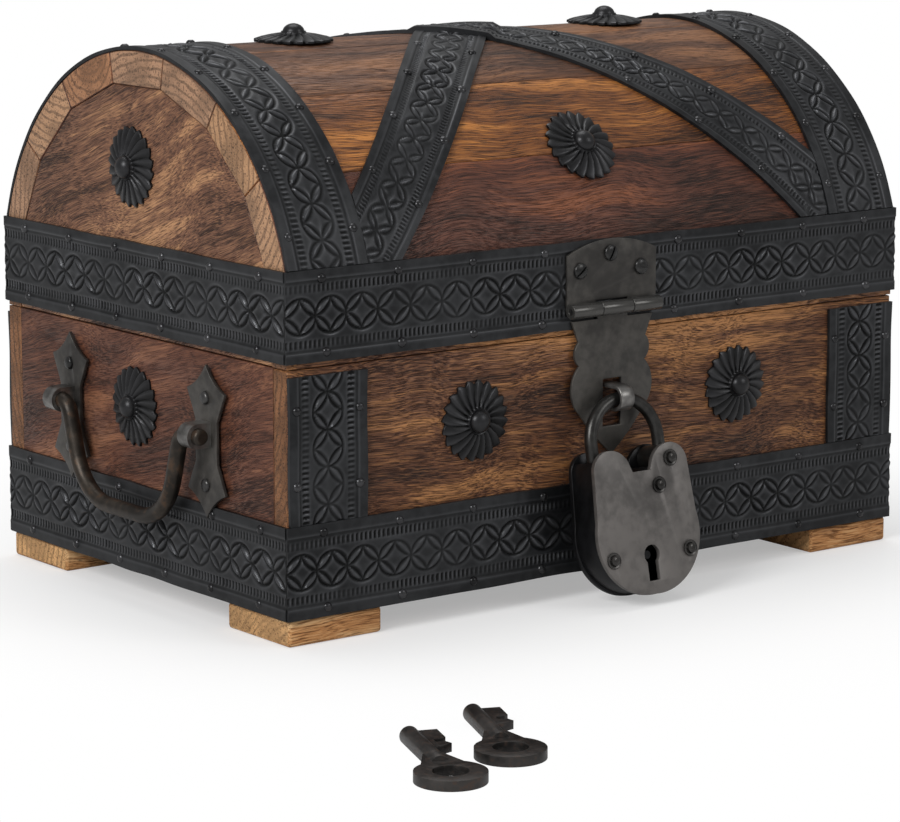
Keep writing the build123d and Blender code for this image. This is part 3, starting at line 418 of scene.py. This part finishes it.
# %% [markdown]
# The stamped pattern. A strap is rolled between dies that press in a chain of touching circles,
# each with four raised petals round a diamond, then a comb of short dashes on both sides, and leave
# a raised border. Its height is one formula of the distance along and across the strap, so every
# strap, flat or rolled over the dome, carries the same pattern at the same scale. The die slips and
# bites unevenly, as it does in hand work.

# %% Height of the stamped pattern
chain_pitch = 14.2 * MM
chain_squash = 0.93
petal_bow = 1.5
comb_pitch = 2.05 * MM
comb_middle = 10.2 * MM
comb_half = 1.5 * MM
border_start = 12.9 * MM
line_width = 0.55 * MM
stamp_depth = 0.75 * MM
die_slip = 0.5 * MM
comb_shift = 50 * MM


def ridge(distance, width):
    """A soft ridge along a line, 1 on the line."""
    return np.exp(-(distance / width) ** 2)


def rise(distance, width):
    """A steep rise from 0 at the edge to 1 at this distance inside it."""
    return np.sqrt(np.clip(distance / width, 0, 1))


def unevenness(along, across):
    """How deep the die bit, from faint to full, wandering along the strap."""
    return 0.68 + 0.32 * np.sin(along * 43.0 + 5.0 * np.sin(along * 13.0) + across * 90.0)


def stamp(along, across):
    """Height of the stamped pattern in metres, on arrays of places along and across a strap."""
    half = chain_pitch / 2
    slipped = along + die_slip * np.sin(along * 97.0)
    place = (slipped + half) % chain_pitch - half
    aside = np.abs(across) / chain_squash
    radius = np.hypot(place, aside)
    bow_middle = petal_bow * half
    bow_radius = math.hypot(bow_middle - half, bow_middle)
    corner = np.hypot(np.abs(place) - bow_middle, aside - bow_middle)
    inside = np.minimum(half - radius, bow_radius - corner)
    petal = rise(inside - 0.8 * line_width, 1.6 * line_width)
    vein = ridge(half - radius - (bow_radius - corner), 1.3 * line_width)
    circle_groove = ridge(radius - half + 0.1 * line_width, 1.1 * line_width)
    bow_groove = ridge(corner - bow_radius - 0.3 * line_width, 1.1 * line_width) * (radius < half)
    diamond = 0.3 * rise(np.minimum(half - radius, corner - bow_radius) - line_width, 3 * line_width)
    comb = rise(np.cos(2 * np.pi * along / comb_pitch) + 0.2, 0.7)
    comb_row = rise(comb_half - np.abs(np.abs(across) - comb_middle), line_width)
    border = np.clip((np.abs(across) - border_start) / line_width, 0, 1)
    pressed = petal * (0.75 + 0.25 * vein) + diamond - np.maximum(circle_groove, bow_groove)
    dashes = -0.85 * comb * comb_row * unevenness(along + comb_shift, across)
    dent = np.sin(along * 61.0 + 9.0 * np.sin(across * 130.0)) * np.sin(along * 173.0 + across * 90.0)
    return stamp_depth * (pressed * unevenness(along, across) + dashes + 0.5 * border + 0.16 * dent)


def crests(height, reach):
    """How far each point stands over its surroundings on a grid of heights, from -1 to 1."""
    padded = np.pad(height, reach, mode="edge")
    size = 2 * reach + 1
    rows, columns = height.shape
    total = sum(padded[i:i + rows, j:j + columns] for i in range(size) for j in range(size))
    return np.clip((height - total / size ** 2) / (0.3 * stamp_depth), -1, 1)


# %% [markdown]
# A strap is a fine grid bent to its seat, with its edges turned down to the wood. A slanting strap
# stops where another one covers it, so each strap says where it begins and ends at every place
# across. Its edges waver a little, as they do when sheet is cut with hand shears. Its back is
# closed by one row of faces, so the strap is a solid sheet.

# %% Straps as solid sheets
strap_step = 0.5 * MM
hand_cut = 0.009
sheet = 1.0 * MM
die_width = 34.0 * MM
nail_places = {"chest": [], "lid": []}


def new_piece(name, points, faces, material, edges, sharp=50.0):
    """A smooth mesh object, normals turned outwards. edges fills the attribute "edge"."""
    mesh = bpy.data.meshes.new(name)
    mesh.from_pydata([tuple(point) for point in points], [], faces)
    attribute = mesh.attributes.new("edge", "FLOAT", "POINT")
    attribute.data.foreach_set("value", np.asarray(edges, dtype=np.float32))
    work = bmesh.new()
    work.from_mesh(mesh)
    bmesh.ops.recalc_face_normals(work, faces=work.faces)
    work.to_mesh(mesh)
    work.free()
    mesh.materials.append(material)
    mesh.shade_smooth()
    mesh.set_sharp_from_angle(angle=math.radians(sharp))
    return add_object(name, mesh)


def strap_faces(seat, width, starts, ends, lift=None, offset=0.0):
    """Points, faces and edge wear of a strap. seat(along, across, height) gives its points."""
    rows = int(round(width / strap_step))
    across = np.linspace(-width / 2, width / 2, rows + 1)
    low, high = starts(across), ends(across)
    columns = int(round(float(np.max(high - low)) / strap_step))
    share = np.linspace(0, 1, columns + 1)
    along = low[None, :] + (high - low)[None, :] * share[:, None]
    wide = np.broadcast_to(across[None, :], along.shape)
    scale = min(1.0, width / die_width)
    height = sheet + stamp((along + offset) / scale, wide / scale)
    # From how far each point stands out, the iron finish paints shade into the hollows and lightens the
    # crests, part rubbing and part painted highlight.
    edges = crests(height, 2).ravel()
    if lift is not None:
        height = height + lift(along, wide)
    wide = wide * (1 - hand_cut * (1 + np.sin(along * 83.0 + 3.0 * np.sin(along * 29.0))))
    top = seat(along, wide, height).reshape(-1, 3)
    flat = np.zeros(columns + 1)
    left = seat(along[:, 0], wide[:, 0], flat)
    right = seat(along[:, -1], wide[:, -1], flat)
    index = np.arange(top.shape[0]).reshape(columns + 1, rows + 1)
    low_left = index[-1, -1] + 1 + np.arange(columns + 1)
    low_right = low_left + columns + 1
    quads = [
        np.stack([index[:-1, :-1], index[1:, :-1], index[1:, 1:], index[:-1, 1:]],
                 axis=-1).reshape(-1, 4),
        np.stack([low_left[:-1], low_left[1:], index[1:, 0], index[:-1, 0]], axis=-1),
        np.stack([index[:-1, -1], index[1:, -1], low_right[1:], low_right[:-1]], axis=-1),
        np.stack([low_right[:-1], low_right[1:], low_left[1:], low_left[:-1]], axis=-1),
    ]
    faces = np.concatenate(quads).tolist()
    faces.append([int(low_left[0])] + index[0].tolist() + [int(low_right[0])])
    faces.append([int(low_right[-1])] + index[-1][::-1].tolist() + [int(low_left[-1])])
    return np.concatenate([top, left, right]), faces, np.concatenate([edges, flat, flat])


def add_strap(node_name, body, parts):
    """One or more stamped straps in place of a plain CAD sheet, riding on its body."""
    points, faces, edges = [], [], []
    for part_points, part_faces, part_edges in parts:
        shift = sum(len(p) for p in points)
        points.append(part_points)
        edges.append(part_edges)
        faces.extend([[corner + shift for corner in face] for face in part_faces])
    piece = new_piece("stamped_" + node_name, np.concatenate(points), faces, black_iron,
                      np.concatenate(edges))
    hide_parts(node_name)
    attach(piece, body)
    return piece


def constant(value):
    """A start or an end that is the same all across the strap."""
    return lambda across: np.full_like(across, value)


def flat_seat(origin, along_axis, across_axis, out_axis):
    """A seat on a flat board."""
    origin, a, c, o = (np.array(v, dtype=float) for v in (origin, along_axis, across_axis, out_axis))
    outer = np.multiply.outer
    return lambda along, across, height: (origin + outer(along, a) + outer(across, c)
                                          + outer(height, o))


def nail_rows(body, seat, low, high, width, pitch):
    """Nails along both edges of a strap, a little uneven, as they are driven by hand."""
    count = max(1, int(round((high - low) / pitch)))
    for across in (-(width / 2 - edge_in), width / 2 - edge_in):
        for k in range(count):
            wander = uneven * math.sin(7.0 * k + 400 * across)
            along = low + (high - low) * (k + 0.5) / count + wander
            foot, tip = (seat(np.array([along]), np.array([across]), np.array([height]))[0]
                         for height in (sheet, sheet + MM))
            nail_places[body].append((foot, (tip - foot) / MM))


# %% [markdown]
# The flat straps: one round the foot of the body and one round the foot of the lid, and short
# upright ones on the corners of the front and back. Each reads its place from the CAD sheet that
# it stands for.

# %% Flat straps
edge_in = 3.5 * MM
uneven = 1.3 * MM
band_nail_pitch = 33 * MM
corner_nail_pitch = 26 * MM
end_nail_pitch = 27 * MM
cross_nail_pitch = 30 * MM
corner_width = 35.0 * MM
band_offset = 3 * MM
sides = {"front": ((1, 0, 0), (0, -1, 0)), "back": ((-1, 0, 0), (0, 1, 0)),
         "left": ((0, -1, 0), (-1, 0, 0)), "right": ((0, 1, 0), (1, 0, 0))}
straps = []
for side, (along_axis, out_axis) in sides.items():
    out = np.array(out_axis, dtype=float)
    for kind, body in (("lower_band_", "chest"), ("lid_band_", "lid")):
        low, high = (np.array(v, dtype=float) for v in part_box(kind + side))
        length = abs(float(np.dot(high - low, along_axis)))
        width = high[2] - low[2]
        seat = flat_seat((low + high) / 2 - out * sheet / 2, along_axis, (0, 0, 1), out_axis)
        part = strap_faces(seat, width, constant(-length / 2), constant(length / 2), offset=band_offset)
        straps.append(add_strap(kind + side, body, [part]))
        nail_rows(body, seat, -length / 2, length / 2, width, band_nail_pitch)
for side in ("front", "back"):
    out = np.array(sides[side][1], dtype=float)
    low, high = (np.array(v, dtype=float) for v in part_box("corner_straps_" + side))
    length = high[2] - low[2]
    parts = []
    for x in (low[0] + corner_width / 2, high[0] - corner_width / 2):
        middle = np.array((x, (low[1] + high[1]) / 2, (low[2] + high[2]) / 2)) - out * sheet / 2
        seat = flat_seat(middle, (0, 0, 1), (-out[1], 0, 0), out)
        parts.append(strap_faces(seat, corner_width, constant(-length / 2), constant(length / 2)))
        nail_rows("chest", seat, -length / 2, length / 2, corner_width, corner_nail_pitch)
    straps.append(add_strap("corner_straps_" + side, "chest", parts))
print("flat straps", len(straps))

# %% [markdown]
# The straps of the dome. Distance over the dome is an angle times its radius, so a strap laid
# straight over it is a ring and a strap laid slantwise is a screw line. The two slanting straps
# cross on the crown, where the upper one steps over the lower.

# %% Straps over the dome
cross_width = 28.5 * MM
cross_slant = math.radians(42.0)
strap_gap = 0.1 * MM
climb = sheet + 0.6 * MM
climb_start = 3.5 * MM
climb_run = 3 * MM
free_crossing = 24 * MM
free_end = 14 * MM
strap_radius = dome_radius + sheet
band_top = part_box("lid_band_front")[1].z
arc_end = strap_radius * math.acos((band_top - dome_z) / strap_radius)
strap_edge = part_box("cross_strap_lower")[1].x - chest.x


def dome_seat(slant, centre_x):
    """A seat over the dome, for a strap that runs at this slant to the chest's depth."""
    s, c = math.sin(slant), math.cos(slant)

    def seat(along, across, height):
        x = centre_x + along * s + across * c
        angle = (along * c - across * s) / strap_radius
        radius = dome_radius + strap_gap + height
        return np.stack([x, chest.y - radius * np.sin(angle), dome_z + radius * np.cos(angle)], axis=-1)
    return seat


def cross_end(sign, slant):
    """Where a slanting strap stops: at the end strap or at the lid's band, whichever comes first."""
    s, c = math.sin(slant), math.cos(slant)
    nearest = np.minimum if sign > 0 else np.maximum
    return lambda across: nearest((sign * strap_edge * np.sign(s) - across * c) / s,
                                  (sign * arc_end + across * s) / c)


def step_over(along, across):
    """The upper strap's climb over the lower one."""
    apart = np.abs(along * math.sin(2 * cross_slant) + across * math.cos(2 * cross_slant))
    return climb * np.clip((cross_width / 2 + climb_start - apart) / climb_run, 0, 1)


for side in ("left", "right"):
    low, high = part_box("end_strap_" + side)
    width = high.x - low.x
    seat = dome_seat(0.0, (low.x + high.x) / 2)
    straps.append(add_strap("end_strap_" + side, "lid",
                            [strap_faces(seat, width, constant(-arc_end), constant(arc_end))]))
    nail_rows("lid", seat, -arc_end, arc_end, width, end_nail_pitch)
for name, slant, lift in (("cross_strap_lower", -cross_slant, None),
                          ("cross_strap_upper", cross_slant, step_over)):
    seat = dome_seat(slant, chest.x)
    part = strap_faces(seat, cross_width, cross_end(-1, slant), cross_end(1, slant), lift=lift)
    straps.append(add_strap(name, "lid", [part]))
    reach = strap_edge / math.sin(cross_slant) - free_end
    for low, high in ((-reach, -free_crossing), (free_crossing, reach)):
        nail_rows("lid", seat, low, high, cross_width, cross_nail_pitch)
print("straps", len(straps), "faces", sum(len(strap.data.polygons) for strap in straps))

# %% [markdown]
# The pressed flowers and the nails are one shape each, set many times. A flower is a disc pressed
# into swirled petals with a notched rim, held by a round-headed nail; both are drawn as a height
# over turns and rings. The nail is a low dome.

# %% One flower and one nail
flower_radius = 15.7 * MM
groove_shade = 1.25
flower_rise = 3.6 * MM
flower_rim = 0.9 * MM
flower_petals = 20
knob_radius = 4.3 * MM
knob_rise = 3.3 * MM
nail_radius = 2.0 * MM
nail_rise = 1.5 * MM


def turned_shape(name, rings, turns, material, sharp=50.0):
    """A closed round piece from rings, each giving radius, height and edge at a turn, rim to middle."""
    angles = [2 * math.pi * k / turns for k in range(turns)]
    points, edges = [(0.0, 0.0, 0.0)], [0.0]
    for radius_at, height_at, edge_at in rings:
        points += [(radius_at(a) * math.cos(a), radius_at(a) * math.sin(a), height_at(a))
                   for a in angles]
        edges += [edge_at(a) for a in angles]
    points.append((0.0, 0.0, rings[-1][1](0.0)))
    edges.append(0.5)
    faces = [[0, 1 + (k + 1) % turns, 1 + k] for k in range(turns)]
    for ring in range(len(rings) - 1):
        first = 1 + ring * turns
        faces += [[first + k, first + (k + 1) % turns, first + turns + (k + 1) % turns,
                   first + turns + k] for k in range(turns)]
    first = 1 + (len(rings) - 1) * turns
    faces += [[first + k, first + (k + 1) % turns, len(points) - 1] for k in range(turns)]
    return new_piece(name, points, faces, material, edges, sharp)


def flower_ring(share):
    """One ring of the flower, at this share of its radius. Petals lean with the turn, so they swirl."""
    dome = flower_rim + (flower_rise - flower_rim) * math.cos(share * math.pi / 2) ** 0.8

    def petal_turn(angle):
        return (flower_petals * (angle + 0.3 * share) / (2 * math.pi)) % 1.0

    def crown(angle):
        turn = petal_turn(angle)
        return min(turn / 0.8, (1 - turn) / 0.2)

    def radius_at(angle):
        return flower_radius * share * (1 - 0.15 * share ** 10 * (1 - crown(angle) ** 0.7))

    def height_at(angle):
        return dome * (0.62 + 0.38 * crown(angle) ** 0.6)

    # Painted shade in the grooves between petals, and on their crowns a lighter colour, partly rubbing
    # and partly painted highlight.
    def edge_at(angle):
        return max(-1.0, 2 * crown(angle) ** 0.6 - groove_shade)
    return radius_at, height_at, edge_at


def plain_ring(radius, height):
    """A ring that is the same all the way round."""
    # Its edge of 0.3 gives a faintly lighter colour, partly rubbing and partly painted highlight, where
    # the iron finish reads it.
    return lambda angle: radius, lambda angle: height, lambda angle: 0.3


def dome_rings(radius, rise_to, base, turns):
    """Rings of a round dome on a base height, at these turns from its crown."""
    return [plain_ring(radius * math.sin(turn), base + rise_to * math.cos(turn)) for turn in turns]


# The rim's foot gets painted shade.
flower_rings = [(flower_ring(1.0)[0], lambda angle: 0.0, lambda angle: -0.5)]
flower_rings += [flower_ring(share)
                 for share in (1.0, 0.97, 0.92, 0.84, 0.75, 0.65, 0.55, 0.46, 0.38, 0.33)]
flower_rings += [plain_ring(knob_radius * share, flower_rise + lift * MM)
                 for share, lift in ((1.14, -0.1), (1.12, 0.3), (1.0, 0.1))]
flower_rings += dome_rings(knob_radius, knob_rise, flower_rise, (1.45, 1.3, 1.0, 0.7, 0.4, 0.15))
flower = turned_shape("flower_shape", flower_rings, flower_petals * 8, flower_iron, sharp=45.0)
nail_rings = [plain_ring(nail_radius, 0.0)] + dome_rings(nail_radius, nail_rise, 0.0, (1.45, 1.0, 0.5))
nail = turned_shape("nail_shape", nail_rings, 12, nail_iron, sharp=70.0)
print("flower faces", len(flower.data.polygons), "nail faces", len(nail.data.polygons))

# %% [markdown]
# The screws and rivets are turned shapes too. A rivet runs right through the padlock, with a
# stepped head in front and a tail hammered flat behind. A wood screw has a low round head; the
# hasp's and hinges' screws have a slot, cut here with a Boolean, as a saw cuts the real one.

# %% Screws and rivets
head_radius = 3.1 * MM
head_rise = 1.6 * MM
shank_radius = 1.4 * MM
shank_length = 7.0 * MM
slot_width = 0.8 * MM
slot_depth = 0.9 * MM
screw_rise = 1.7 * MM
rivet_half = 8.0 * MM
rivet_radius = 3.2 * MM
rivet_rise = 1.9 * MM
tail_rise = 0.5 * MM
shank_rings = [plain_ring(shank_radius, -shank_length), plain_ring(shank_radius, 0.0)]


def head_rings(radius, rise_to):
    """Rings of a round head, from its rim to near its crown. Its side is upright before it domes."""
    upright = 0.35 * rise_to
    turns = (1.45, 1.1, 0.75, 0.35)
    return [plain_ring(radius, 0.0)] + dome_rings(radius, rise_to - upright, upright, turns)


def settle(piece):
    """Turns what a piece's modifiers make into its plain mesh."""
    graph = bpy.context.evaluated_depsgraph_get()
    made = bpy.data.meshes.new_from_object(piece.evaluated_get(graph))
    piece.modifiers.clear()
    piece.data = made


def slotted(screw):
    """Cuts the slot into a screw's head."""
    bpy.ops.mesh.primitive_cube_add(size=1.0, location=(0, 0, head_rise))
    saw = bpy.context.object
    saw.scale = (4 * head_radius, slot_width, 2 * slot_depth)
    cut = screw.modifiers.new("slot", "BOOLEAN")
    cut.object = saw
    cut.solver = "EXACT"
    bpy.context.view_layer.update()
    settle(screw)
    bpy.data.objects.remove(saw)
    return screw


plain_rings = shank_rings + head_rings(0.8 * head_radius, head_rise)
plain_screw = turned_shape("plain_screw", plain_rings, 20, screw_iron)
slot_rings = shank_rings + head_rings(head_radius, head_rise)
slot_screw = slotted(turned_shape("slot_screw", slot_rings, 24, screw_iron))
head_steps = ((1.0, 0.0), (1.0, 0.3), (0.88, 0.48), (0.66, 0.42), (0.6, 0.34), (0.58, 0.75),
              (0.46, 0.92), (0.22, 1.0))
tail_steps = ((0.5, 1.0), (0.85, 0.8), (1.0, 0.3), (1.0, 0.0))
rivet_rings = [plain_ring(rivet_radius * share, -rivet_half - tail_rise * lift)
               for share, lift in tail_steps]
rivet_rings += [plain_ring(shank_radius, -rivet_half), plain_ring(shank_radius, rivet_half)]
rivet_rings += [plain_ring(rivet_radius * share, rivet_half + rivet_rise * lift)
                for share, lift in head_steps]
rivet = turned_shape("rivet_shape", rivet_rings, 24, rivet_iron, sharp=40.0)
print("screw faces", len(slot_screw.data.polygons), "rivet faces", len(rivet.data.polygons))

# %% [markdown]
# One Geometry Nodes tree sets a shape at every point of a small mesh, standing along the direction
# kept with the point, with a chance turn about its own axis and a chance size. The tree joins all
# of them into one plain mesh, since the export drops instances.

# %% The tree that sets shapes at places
setting, given, setting_out = new_group(
    "Set shapes at places",
    {"Places": "Geometry", "Shape": "Object", "Spin": "Float", "Size spread": "Float", "Seed": "Int",
     "Finish": "Material"}, {"Set pieces": "Geometry"}, "GeometryNodeTree")
direction = node(setting, "GeometryNodeInputNamedAttribute", {0: "out"},
                 data_type="FLOAT_VECTOR").outputs[0]
standing = node(setting, "FunctionNodeAlignRotationToVector", {"Vector": direction}, axis="Z").outputs[0]
chance_turn = node(setting, "FunctionNodeRandomValue", {2: 0.0, 3: given["Spin"], "Seed": given["Seed"]},
                   data_type="FLOAT").outputs[1]
turn_only = node(setting, "ShaderNodeCombineXYZ", {2: chance_turn}).outputs[0]
as_rotation = node(setting, "FunctionNodeEulerToRotation", {0: turn_only}).outputs[0]
spun = node(setting, "FunctionNodeRotateRotation", {0: standing, 1: as_rotation}, rotation_space="LOCAL")
smallest = maths(setting, "SUBTRACT", 1.0, given["Size spread"])
chance_size = node(setting, "FunctionNodeRandomValue", {2: smallest, 3: 1.0, "Seed": given["Seed"]},
                   data_type="FLOAT").outputs[1]
shape_given = node(setting, "GeometryNodeObjectInfo", {"Object": given["Shape"], "As Instance": True})
placed = node(setting, "GeometryNodeInstanceOnPoints",
              {"Points": given["Places"], "Instance": shape_given.outputs["Geometry"],
               "Rotation": spun.outputs[0], "Scale": chance_size})
plain = node(setting, "GeometryNodeRealizeInstances", {0: placed.outputs[0]}).outputs[0]
finished = node(setting, "GeometryNodeSetMaterial", {"Geometry": plain, "Material": given["Finish"]})
give(setting, setting_out, {0: finished.outputs[0]})


def set_shapes(name, places, shape, finish, spin, spread, seed):
    """A plain mesh object with the shape at every (point, direction)."""
    mesh = bpy.data.meshes.new(name + "_places")
    mesh.from_pydata([tuple(point) for point, _ in places], [], [])
    out = mesh.attributes.new("out", "FLOAT_VECTOR", "POINT")
    directions = np.array([direction for _, direction in places], dtype=np.float32)
    out.data.foreach_set("vector", directions.ravel())
    piece = add_object(name, mesh)
    modifier = piece.modifiers.new("set", "NODES")
    modifier.node_group = setting
    wanted = {"Shape": shape, "Spin": spin, "Size spread": spread, "Seed": seed, "Finish": finish}
    for item in setting.interface.items_tree:
        if item.in_out == "INPUT" and item.name in wanted:
            modifier[item.identifier] = wanted[item.name]
    piece.update_tag()
    settle(piece)
    piece.data.name = name
    return piece


# %% [markdown]
# Two flowers sit on the front of the body and one on each of its ends. The lid has one high on each
# end, two on its crown, and one each on the front and the back of its dome. The nails were placed
# with the straps.

# %% Flowers and nails
front_flower_x = 65.0 * MM
body_flower_z = 75.0 * MM
end_flower_y = 3.8 * MM
lid_flower_z = 167.0 * MM
dome_flower_x = 78.0 * MM
dome_flower_angle = math.radians(52.0)
any_turn = 6.28
flower_places = {"chest": [], "lid": []}
for sign in (-1, 1):
    end = Vector((sign, 0, 0))
    for body, z in (("chest", body_flower_z), ("lid", lid_flower_z)):
        flower_places[body].append((chest + Vector((sign * half_length, end_flower_y, z)), end))
    flower_places["chest"].append((chest + Vector((sign * front_flower_x, -half_depth, body_flower_z)),
                                   Vector((0, -1, 0))))
    crown = chest + Vector((sign * dome_flower_x, 0, dome_z + dome_radius))
    flower_places["lid"].append((crown, Vector((0, 0, 1))))
    up = Vector((0, -sign * math.sin(dome_flower_angle), math.cos(dome_flower_angle)))
    flower_places["lid"].append((chest + Vector((0, 0, dome_z)) + up * dome_radius, up))
for body, node_name in (("chest", "rosettes_body"), ("lid", "rosettes_lid")):
    flowers = set_shapes("flowers_" + body, flower_places[body], flower, flower_iron, any_turn, 0.0, 3)
    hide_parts(node_name)
    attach(flowers, body)
    nails = set_shapes("nails_" + body, nail_places[body], nail, nail_iron, any_turn, 0.15, 5)
    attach(nails, body)
    print(body, "flowers", len(flower_places[body]), "nails", len(nail_places[body]))

# %% [markdown]
# The screws and rivets go where the CAD ones are. Each CAD node holds one loose solid per screw,
# so its vertices are grouped by the screw they belong to, and the group's middle gives the place.

# %% Screws and rivets in their holes
weld = 0.002 * MM
slot_turn = 3.0


def welded(node_name):
    """A CAD node's faces with their doubled corners joined, to work on."""
    work = bmesh.new()
    work.from_mesh(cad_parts[node_name].data)
    bmesh.ops.remove_doubles(work, verts=work.verts, dist=weld)
    return work


def loose_boxes(node_name):
    """The boxes of a CAD node's separate solids."""
    work = welded(node_name)
    work.verts.ensure_lookup_table()
    waiting, boxes = set(work.verts), []
    while waiting:
        group, queue = [], [waiting.pop()]
        while queue:
            vertex = queue.pop()
            group.append(vertex.co.copy())
            for link in vertex.link_edges:
                other = link.other_vert(vertex)
                if other in waiting:
                    waiting.remove(other)
                    queue.append(other)
        corners = np.array(group)
        boxes.append((corners.min(0), corners.max(0)))
    work.free()
    return sorted(boxes, key=lambda box: tuple(box[0].round(4)))


plate_normals = [polygon.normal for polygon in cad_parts["lock_front_plate"].data.polygons]
lock_out = np.array(max(plate_normals, key=lambda normal: -normal.y + 0.001 * normal.z))
for node_name, body, slot_name, shape, way in (
        ("hasp_screws", "lid", "screw_steel", slot_screw, (0, -1, 0)),
        ("handle_screws", "chest", "screw_steel", plain_screw, None),
        ("hinge_screws_body", "chest", "screw_steel", slot_screw, (0, 1, 0)),
        ("hinge_screws_lid", "lid", "screw_steel", slot_screw, (0, 1, 0)),
        ("lock_rivets", "lock_case", "lock_iron", rivet, tuple(lock_out))):
    places = []
    for low, high in loose_boxes(node_name):
        middle = (low + high) / 2
        out = np.array(way if way else (math.copysign(1, middle[0] - chest.x), 0, 0), dtype=float)
        if shape is rivet:
            places.append((middle, out))
        else:
            top = middle + np.abs(out) * out * (high - low) / 2
            places.append((top - out * screw_rise, out))
    finish = rivet_iron if shape is rivet else screw_iron
    turned = set_shapes("turned_" + node_name, places, shape, finish, slot_turn, 0.0, 8)
    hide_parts(node_name)
    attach(turned, body)
    print(node_name, len(places))
for shape in (flower, nail, plain_screw, slot_screw, rivet):
    bpy.data.objects.remove(shape)

# %% [markdown]
# No real edge is perfectly sharp. Each board, plate and key is copied, its flat faces are joined
# again and its edges rounded by the amount that its making leaves: a plane takes most off the feet
# and boards, and a file less off the padlock, the keys and the plates.

# %% Rounded pieces
rounding_mm = [
    (0.9, "body_wood", "chest", "front_board back_board left_board right_board"),
    (0.9, "lid_wood", "lid", "lid_end_left lid_end_right lid_rail_front lid_rail_back"),
    (0.6, "lid_wood", "lid", "stave_1 stave_2 stave_3 stave_4 stave_5 stave_6 stave_7"),
    (1.4, "foot_wood", "chest", "feet"),
    (0.35, "black_iron", "lid", "hasp_plate"), (0.35, "black_iron", "hasp", "hasp_leaf"),
    (0.35, "black_iron", "chest", "handle_plates hinge_leaves_body"),
    (0.35, "black_iron", "lid", "hinge_leaves_lid"), (0.35, "bright_steel", "chest", "staple"),
    (0.5, "lock_iron", "lock_case", "lock_front_plate lock_back_plate lock_rim"),
    (0.5, "key_iron", "key_1", "key_1"), (0.5, "key_iron", "key_2", "key_2"),
]
round_over = math.radians(40.0)


def rounded(node_name, width):
    """A copy of a CAD node with rounded edges, as a plain mesh."""
    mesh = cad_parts[node_name].data.copy()
    work = welded(node_name)
    bmesh.ops.dissolve_limit(work, angle_limit=math.radians(0.5), verts=work.verts, edges=work.edges)
    work.to_mesh(mesh)
    work.free()
    piece = add_object("rounded_" + node_name, mesh)
    bevel = piece.modifiers.new("round", "BEVEL")
    bevel.width = width
    bevel.segments = 2
    bevel.limit_method = "ANGLE"
    bevel.angle_limit = round_over
    settle(piece)
    piece.data.shade_smooth()
    piece.data.set_sharp_from_angle(angle=round_over)
    return piece


for width, slot_name, body, node_names in rounding_mm:
    for node_name in node_names.split():
        piece = rounded(node_name, width * MM)
        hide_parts(node_name)
        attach(piece, body)
print("groups of rounded pieces", len(rounding_mm))

# %% [markdown]
# The floor and the lights of a small studio. The floor is pale and turns into plain white away
# from the chest, as a sweep of paper does in bright light. A large soft lamp stands at the left
# front, a weaker one at the right, and one hangs over the lid. Beyond the floor the camera sees the
# same white, while the light that comes from there stays dim.

# %% Floor and lights
reach = 6.0
sky_light = 0.35
aim_height = 0.1
floor_points = [(-reach, -reach, 0), (reach, -reach, 0), (reach, reach, 0), (-reach, reach, 0)]
floor_mesh = bpy.data.meshes.new("floor")
floor_mesh.from_pydata(floor_points, [], [[0, 1, 2, 3]])
floor = add_object("floor", floor_mesh)
paper, tree, shader = new_material("paper")
light_path = node(tree, "ShaderNodeLightPath").outputs
seen_colour = mix(tree, light_path["Is Camera Ray"], (0.7, 0.7, 0.7, 1.0), (1.0, 1.0, 1.0, 1.0))
give(tree, shader, {"Base Color": seen_colour, "Roughness": 0.9, "Specular IOR Level": 0.1})
glow = node(tree, "ShaderNodeEmission", {"Color": (1.0, 1.0, 1.0, 1.0), "Strength": 1.0})
place = node(tree, "ShaderNodeTexCoord").outputs["Object"]
far = node(tree, "ShaderNodeVectorMath", {0: place, 1: tuple(chest)},
           operation="DISTANCE").outputs["Value"]
away = ramp(tree, far, [(0.15, 0.38), (0.3, 1.0)])
seen = times(tree, away, light_path["Is Camera Ray"])
mixed = node(tree, "ShaderNodeMixShader", {0: seen, 1: shader.outputs[0], 2: glow.outputs[0]})
tree.links.new(mixed.outputs[0], tree.nodes["Material Output"].inputs["Surface"])
floor_mesh.materials.append(paper)

scene = bpy.context.scene
world = scene.world or bpy.data.worlds.new("studio")
scene.world = world
world.use_nodes = True
tree = world.node_tree
looked_at = node(tree, "ShaderNodeLightPath").outputs["Is Camera Ray"]
strength = node(tree, "ShaderNodeMapRange", {0: looked_at, 3: sky_light, 4: 1.0}).outputs[0]
give(tree, tree.nodes["Background"], {"Color": (1.0, 1.0, 1.0, 1.0), "Strength": strength})
for name, place, width, power in (("key_lamp", (-1.75, -0.55, 1.25), 0.9, 26.0),
                                  ("fill_lamp", (0.9, -1.6, 1.1), 0.8, 6.5),
                                  ("top_lamp", (0.2, 0.5, 1.8), 1.2, 12.5)):
    lamp_data = bpy.data.lights.new(name, "AREA")
    lamp_data.shape = "SQUARE"
    lamp_data.size = width
    lamp_data.energy = power
    lamp = add_object(name, lamp_data)
    lamp.location = chest + Vector(place)
    aim = chest + Vector((0, 0, aim_height)) - lamp.location
    lamp.rotation_mode = "QUATERNION"
    lamp.rotation_quaternion = aim.to_track_quat("-Z", "Y")
scene.view_settings.view_transform = "Standard"
